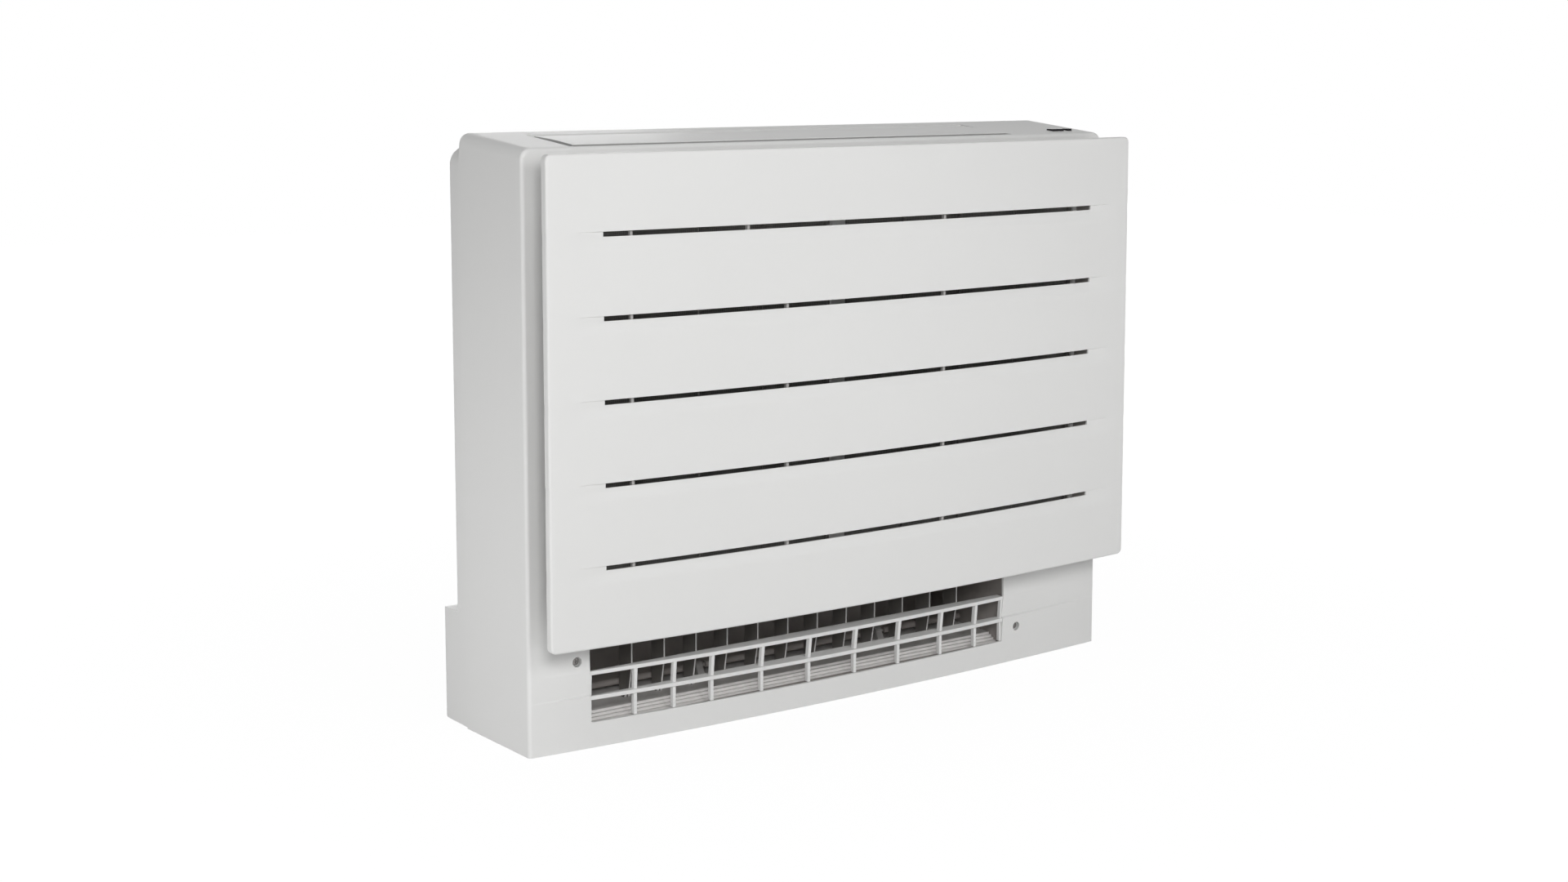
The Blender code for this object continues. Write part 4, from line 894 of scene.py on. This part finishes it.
def grille_post(left, right, depth):
    """A slim post, upright up to the lower bar and leaning forward above it."""
    x = (left + right) / 2
    bend, high = BAR_LEVELS[0] - BAR_HEIGHT / 2, BAR_LEVELS[1] - BAR_HEIGHT / 2
    foot = chin_front(x, OUTLET_BOTTOM) + POST_SET_BACK
    made = block("post", (left, foot, OUTLET_BOTTOM + GRILLE_GAP), (right, foot + depth, high))
    edit(made)
    slice_at(2, bend)
    pick("VERT", lambda p: near(p.z, high))
    push(y=chin_front(x, BAR_LEVELS[1]) + POST_SET_BACK - foot)
    done()
    soften(made, 0.0006, 3, 40)
    return made


edges = [OUTLET_LEFT]
for width in CELLS:
    edges.append(edges[-1] + width)
posts = [grille_post(x - POST_WIDTH / 2, x + POST_WIDTH / 2, POST_DEPTH) for x in edges[1:-1]]
posts.append(grille_post(OUTLET_LEFT + GRILLE_GAP, OUTLET_LEFT + END_POST_EDGE, END_POST_DEPTH))
posts.append(grille_post(OUTLET_RIGHT - END_POST_EDGE, OUTLET_RIGHT - GRILLE_GAP, END_POST_DEPTH))
grille = gather("outlet_bars_and_posts", bars + posts)
smooth(grille, 35)
dress(grille, "unit", white, "white_plastic", "outlet_grille")

# %% [markdown]
# ## Screws
# Two screws hold the casing's front. Each sits at the bottom of a round well behind the chin, and has a flat
# head with a cross recess. The well is a cup, cut from a cylinder. The head is a cylinder with a bevelled
# rim, and the cross is cut by two thin blocks, because a bump would look flat in a close view.

# %% Screws in their seats
WELL_RADIUS, WELL_DEPTH, WELL_FLOOR = 0.0064, 0.0046, 0.0015
HEAD_RADIUS, HEAD_HEIGHT, CROSS_DEPTH = 0.0040, 0.0014, 0.0006
CROSS_REACH, CROSS_HALF = 0.0022, 0.0004


def cross_arm(x, z, reach_x, reach_z, front, back):
    """The cutter for one arm of the cross recess."""
    return block("cross_arm", (x - reach_x, front, z - reach_z), (x + reach_x, back, z + reach_z))


def screw(name, x, z):
    """A cross-head screw at the bottom of its well behind the chin."""
    front = chin_front(x, z)
    floor = front + WELL_DEPTH
    well = drum(name + "_well", (x, front + 0.0012, z), (x, floor + WELL_FLOOR, z), WELL_RADIUS, 40)
    cut(well, drum("well_room", (x, front - 0.001, z), (x, floor, z), SEAT_RADIUS, 40))
    smooth(well, 30)
    dress(well, "unit", white, "white_plastic")
    head = drum(name, (x, floor + 0.0002, z), (x, floor - HEAD_HEIGHT, z), HEAD_RADIUS, 40)
    soften(head, 0.0005)
    for reach_x, reach_z in ((CROSS_REACH, CROSS_HALF), (CROSS_HALF, CROSS_REACH)):
        cut(head, cross_arm(x, z, reach_x, reach_z, front - 0.002, floor - CROSS_DEPTH))
    smooth(head, 30)
    dress(head, "unit", steel, "coil_metal")


screw("screw_left", *SCREWS[0])
screw("screw_right", *SCREWS[1])

# %% [markdown]
# ## Upper flap
# The flap is a thin blade over the upper outlet. It could be a bent box, but its section says it all, so it
# is drawn as one outline and pulled out to its width. Its front edge is undercut, so it shows a fine dark
# line above the deck. Its rear edge is rolled round the hinge's axis, and a pin at each end carries it.

# %% Draw the flap's section and pull it out
FLAP_LEFT, FLAP_RIGHT, FLAP_FRONT = -0.310, 0.238, -0.046
FLAP_PROUD, FLAP_WALL, FLAP_EDGE, UNDERCUT = 0.0012, 0.003, 0.0005, 0.0026
BARREL_Y, BARREL_Z, BARREL_RADIUS = 0.0265, 0.590356, 0.006
ROLL_START, ROLL_SWEEP, ROLL_STEPS = 95, 245, 14
tip, half_way = deck_height(FLAP_FRONT) + FLAP_PROUD, (FLAP_FRONT + BARREL_Y) / 2
crown = deck_height(half_way) + FLAP_PROUD
outline = [
    (FLAP_FRONT + UNDERCUT, tip - FLAP_WALL),
    (FLAP_FRONT, tip - FLAP_EDGE),
    (FLAP_FRONT + FLAP_EDGE, tip),
    (half_way, crown),
]
for i in range(ROLL_STEPS + 1):
    turned = math.radians(ROLL_START - ROLL_SWEEP * i / ROLL_STEPS)
    back, up = BARREL_RADIUS * math.cos(turned), BARREL_RADIUS * math.sin(turned)
    outline.append((BARREL_Y + back, BARREL_Z + up))
outline.append((half_way, crown - FLAP_WALL))
flap = draw_line("flap_blade", [Vector((FLAP_LEFT, y, z)) for y, z in outline])
bpy.ops.mesh.edge_face_add()
bpy.ops.mesh.extrude_region_move(TRANSFORM_OT_translate={"value": (FLAP_RIGHT - FLAP_LEFT, 0, 0)})
turn_outward()
done()
soften(flap, 0.0003, degrees=40)


def flap_pin(start, end):
    return drum("flap_pin", (start, BARREL_Y, BARREL_Z), (end, BARREL_Y, BARREL_Z), PIN_RADIUS)


pins = [
    flap_pin(FLAP_LEFT - PIN_LENGTH, FLAP_LEFT + 0.001),
    flap_pin(FLAP_RIGHT - 0.001, FLAP_RIGHT + PIN_LENGTH),
]
flap = gather("flap_blade", [flap, *pins])
smooth(flap, 32)
dress(flap, "flap", white, "white_plastic", "upper_flap")

# %% [markdown]
# ## Display and receiver
# Two small dark lenses stand a little proud of the deck at its front right corner: a display and a receiver
# for the remote control. Each is a box that sits in its bed, with round corners in plan and a soft top rim.
# A box with two bevels is enough for a piece this small, and its flat top mirrors as a lens does.

# %% Two lenses on the deck
LENS_GAP, LENS_HALF, LENS_RIM = 0.0002, 0.0020, 0.0006


def lens(name, span, corner):
    """A dark lens on the deck, with its corners rounded in plan."""
    base = deck_height((WINDOW_FRONT + WINDOW_BACK) / 2)
    left, right = span[0] + LENS_GAP, span[1] - LENS_GAP
    front, back = WINDOW_FRONT + LENS_GAP, WINDOW_BACK - LENS_GAP
    made = block(name, (left, front, base - LENS_HALF), (right, back, base + LENS_HALF))
    edit(made)
    pick("EDGE", lambda p: near(p.z, base) and not near(p.x, (left + right) / 2, 0.001))
    bpy.ops.mesh.bevel(offset=corner, segments=6, affect="EDGES")
    pick("EDGE", lambda p: near(p.z, base + LENS_HALF))
    bpy.ops.mesh.bevel(offset=LENS_RIM, segments=3, affect="EDGES")
    done()
    smooth(made, 32)
    return made


dress(lens("display_lens", DISPLAY_SPAN, 0.0012), "unit", window, "dark_window", "display_window")
dress(lens("receiver_lens", RECEIVER_SPAN, 0.0034), "unit", window, "dark_window", "receiver_window")

# %% [markdown]
# ## Rear frame
# The back is a moulded tray with large round corners at its top and a deeper box at its foot, which sets
# the unit off the wall. A box with two bevelled corners and a second one for the foot are joined by a
# union, the front face is deleted and Solidify gives the wall, which follows every step by itself.

# %% Box, foot and wall
REAR_TRAY_HALF, REAR_START, REAR_PLANE, REAR_END = 0.3745, 0.0653, 0.090, 0.119
REAR_LOW, REAR_HIGH, FOOT_HIGH = 0.001, 0.586, 0.117
TRAY_CORNER, TRAY_ROUND, FOOT_ROUND, TRAY_WALL = 0.018, 0.009, 0.010, 0.0026
rear = block("rear_tray", (-REAR_TRAY_HALF, REAR_START, REAR_LOW), (REAR_TRAY_HALF, REAR_PLANE, REAR_HIGH))
edit(rear)
pick("EDGE", lambda p: near(abs(p.x), REAR_TRAY_HALF) and near(p.z, REAR_HIGH))
bpy.ops.mesh.bevel(offset=TRAY_CORNER, segments=9, affect="EDGES")
pick("EDGE", lambda p: near(p.y, REAR_PLANE) and p.z > REAR_LOW + 0.001)
bpy.ops.mesh.bevel(offset=TRAY_ROUND, segments=5, affect="EDGES")
done()
foot = block("foot", (-REAR_TRAY_HALF, REAR_START, REAR_LOW), (REAR_TRAY_HALF, REAR_END, FOOT_HIGH))
edit(foot)
pick("EDGE", lambda p: near(p.y, REAR_END))
bpy.ops.mesh.bevel(offset=FOOT_ROUND, segments=6, affect="EDGES")
done()
combine(rear, foot, "UNION")
edit(rear)
pick("FACE", lambda p: near(p.y, REAR_START))
bpy.ops.mesh.delete(type="FACE")
done()
apply(rear, "SOLIDIFY", thickness=TRAY_WALL, offset=-1, use_even_offset=False)
print("tray and foot:", len(rear.data.polygons), "faces")

# %% [markdown]
# ## Rear frame, its channels and holes
# Upright channels stiffen the back, and it has two keyholes to hang it by and two round knock-outs for the
# pipes. A bump could show the shallow ones, but light from the side needs real edges, so all of them are
# cut with shaped cutters: a rounded box, a drum with a neck, and a ring.

# %% Channels, keyholes and knock-outs
KEYHOLE_RADIUS, KEYHOLE_SLOT, KEYHOLE_REACH, KEYHOLE_DROP = 0.006, 0.003, 0.014, 0.110
CHANNEL_HALF, CHANNEL_DEPTH, CHANNEL_LOW, CHANNEL_HIGH, CHANNELS = 0.005, 0.0012, 0.142, 0.549, 4
KNOCKOUT_RADIUS, KNOCKOUT_CORE, KNOCKOUT_HEIGHT, KNOCKOUT_INSET = 0.030, 0.0285, 0.059, 0.070


def keyhole(x, z):
    """The cutter for a round hole with a narrow slot above it."""
    hole = drum("hole", (x, REAR_PLANE - 0.01, z), (x, REAR_PLANE + 0.01, z), KEYHOLE_RADIUS, 40)
    low = (x - KEYHOLE_SLOT, REAR_PLANE - 0.0095, z)
    neck = block("neck", low, (x + KEYHOLE_SLOT, REAR_PLANE + 0.0095, z + KEYHOLE_REACH))
    edit(neck)
    pick("EDGE", lambda p: near(p.z, z + KEYHOLE_REACH) and not near(p.x, x))
    bpy.ops.mesh.bevel(offset=0.0029, segments=6, affect="EDGES")
    done()
    combine(hole, neck, "UNION")
    return hole


def channel(x):
    """The cutter for a shallow upright channel with round ends."""
    low = (x - CHANNEL_HALF, REAR_PLANE - CHANNEL_DEPTH, CHANNEL_LOW)
    made = block("channel", low, (x + CHANNEL_HALF, REAR_PLANE + 0.01, CHANNEL_HIGH))
    edit(made)
    middle = (CHANNEL_LOW + CHANNEL_HIGH) / 2
    pick("EDGE", lambda p: near(abs(p.x - x), CHANNEL_HALF) and not near(p.z, middle, 0.1))
    bpy.ops.mesh.bevel(offset=0.0049, segments=8, affect="EDGES")
    done()
    return made


def knockout(x):
    """The cutter for a round groove in the foot."""
    z = KNOCKOUT_HEIGHT
    ring = drum("ring", (x, REAR_END - CHANNEL_DEPTH, z), (x, REAR_END + 0.01, z), KNOCKOUT_RADIUS, 64)
    cut(ring, drum("core", (x, REAR_END - 0.01, z), (x, REAR_END + 0.02, z), KNOCKOUT_CORE, 64))
    return ring


cut(rear, *[channel(-REAR_TRAY_HALF + REAR_TRAY_HALF * (i + 0.5) / 2) for i in range(CHANNELS)])
cut(rear, *[keyhole(side * REAR_TRAY_HALF / 2, REAR_HIGH - KEYHOLE_DROP) for side in (-1, 1)])
cut(rear, *[knockout(side * (REAR_TRAY_HALF - KNOCKOUT_INSET)) for side in (-1, 1)])
soften(rear, 0.0004, degrees=40)
smooth(rear, 32)
dress(rear, "unit", white, "white_plastic", "rear_frame")
print("rear box:", [round(c, 4) for c in rear.dimensions])

# %% [markdown]
# ## Floor and background
# The photograph is a cut-out on pure white. More light would wash the white unit out, so the world and the
# floor only look white to the camera and to reflections, and near the object the floor still takes a trace
# of its shadow.

# %% Floor and world
FLOOR_SIZE, FLOOR_LEVEL = 12, -0.0005
SHADOW_SHARE, SHADOW_FALL, GLOW, WORLD_LIGHT = 0.06, 0.6, 1.02, 0.02
RAYS = ("Is Camera Ray", "Is Glossy Ray", "Is Transmission Ray")


def looked_at(tree):
    """1 for rays from the camera, from reflections and through glass, and 0 for all others."""
    eye, mirror, glass = (tree.node("ShaderNodeLightPath", out=ray) for ray in RAYS)
    return eye.math("MAXIMUM", eye.math("MAXIMUM", eye, mirror), glass)


bpy.ops.object.select_all(action="DESELECT")
bpy.ops.mesh.primitive_plane_add(size=FLOOR_SIZE, location=(0, 0, FLOOR_LEVEL))
ground = settle("studio_floor")
paper = Finish("white_paper_floor", roughness=0.9, specular=0.1)
paper.set("Base Color", (0.8, 0.8, 0.8, 1))
glow = paper.node("ShaderNodeEmission", {}, {"Color": (1, 1, 1, 1), "Strength": GLOW})
lit = Value(paper, paper.shader.outputs[0])
away = paper.node("ShaderNodeVectorMath", {"operation": "LENGTH"}, {0: paper.place}, out="Value")
nearby = 1 - paper.node("ShaderNodeMath", {"operation": "MINIMUM"}, {0: away * SHADOW_FALL, 1: 1.0})
share = looked_at(paper) * (1 - nearby * SHADOW_SHARE)
both = paper.node("ShaderNodeMixShader", {}, {0: share, 1: lit, 2: glow})
paper.feed(paper.nodes["Material Output"].inputs["Surface"], both)
ground.data.materials.append(paper.material)

world = bpy.data.worlds.new("pale_studio")
bpy.context.scene.world = world
world.use_nodes = True
sky = Tree(world.node_tree)
level = sky.node("ShaderNodeMix", {"data_type": "FLOAT"}, {0: looked_at(sky), 2: WORLD_LIGHT, 3: 1.0})
sky.feed(sky.nodes["Background"].inputs["Strength"], level)
sky.feed(sky.nodes["Background"].inputs["Color"], (1, 1, 1, 1))
print("floor and world ready")

# %% [markdown]
# ## Lamps
# Soft square lamps light the object, all aimed at its middle. The key stands high at the front left, a
# nearer one in front gives the boards their brighter middle, one above lights the deck, two low ones lift
# the side and the chin, and two at the right and behind serve the other views.


# %% Lamps
def lamp(name, place, size, power):
    """A square area lamp that looks at the unit's middle."""
    data = bpy.data.lights.new(name, "AREA")
    data.shape, data.size, data.energy = "SQUARE", size, power
    made = bpy.data.objects.new(name, data)
    bpy.context.scene.collection.objects.link(made)
    made.location = place
    made.rotation_euler = (Vector((0, 0, HEIGHT / 2)) - Vector(place)).to_track_quat("-Z", "Y").to_euler()


lamp("front_left", (-1.5, -2.4, 1.4), 1.0, 30.4)
lamp("front", (-0.1, -1.7, 1.0), 0.5, 6)
lamp("high_left", (-0.4, -0.6, 2.4), 1.4, 10)
lamp("low_left", (-1.1, -0.1, 0.08), 0.5, 3.0)
lamp("low_right", (0.9, -1.2, 0.12), 0.5, 3.2)
lamp("right_side", (2.6, 0.5, 0.5), 1.4, 9)
lamp("behind", (0.6, 2.6, 0.5), 1.6, 28)
print("lamps ready")

# %% Import json
import json
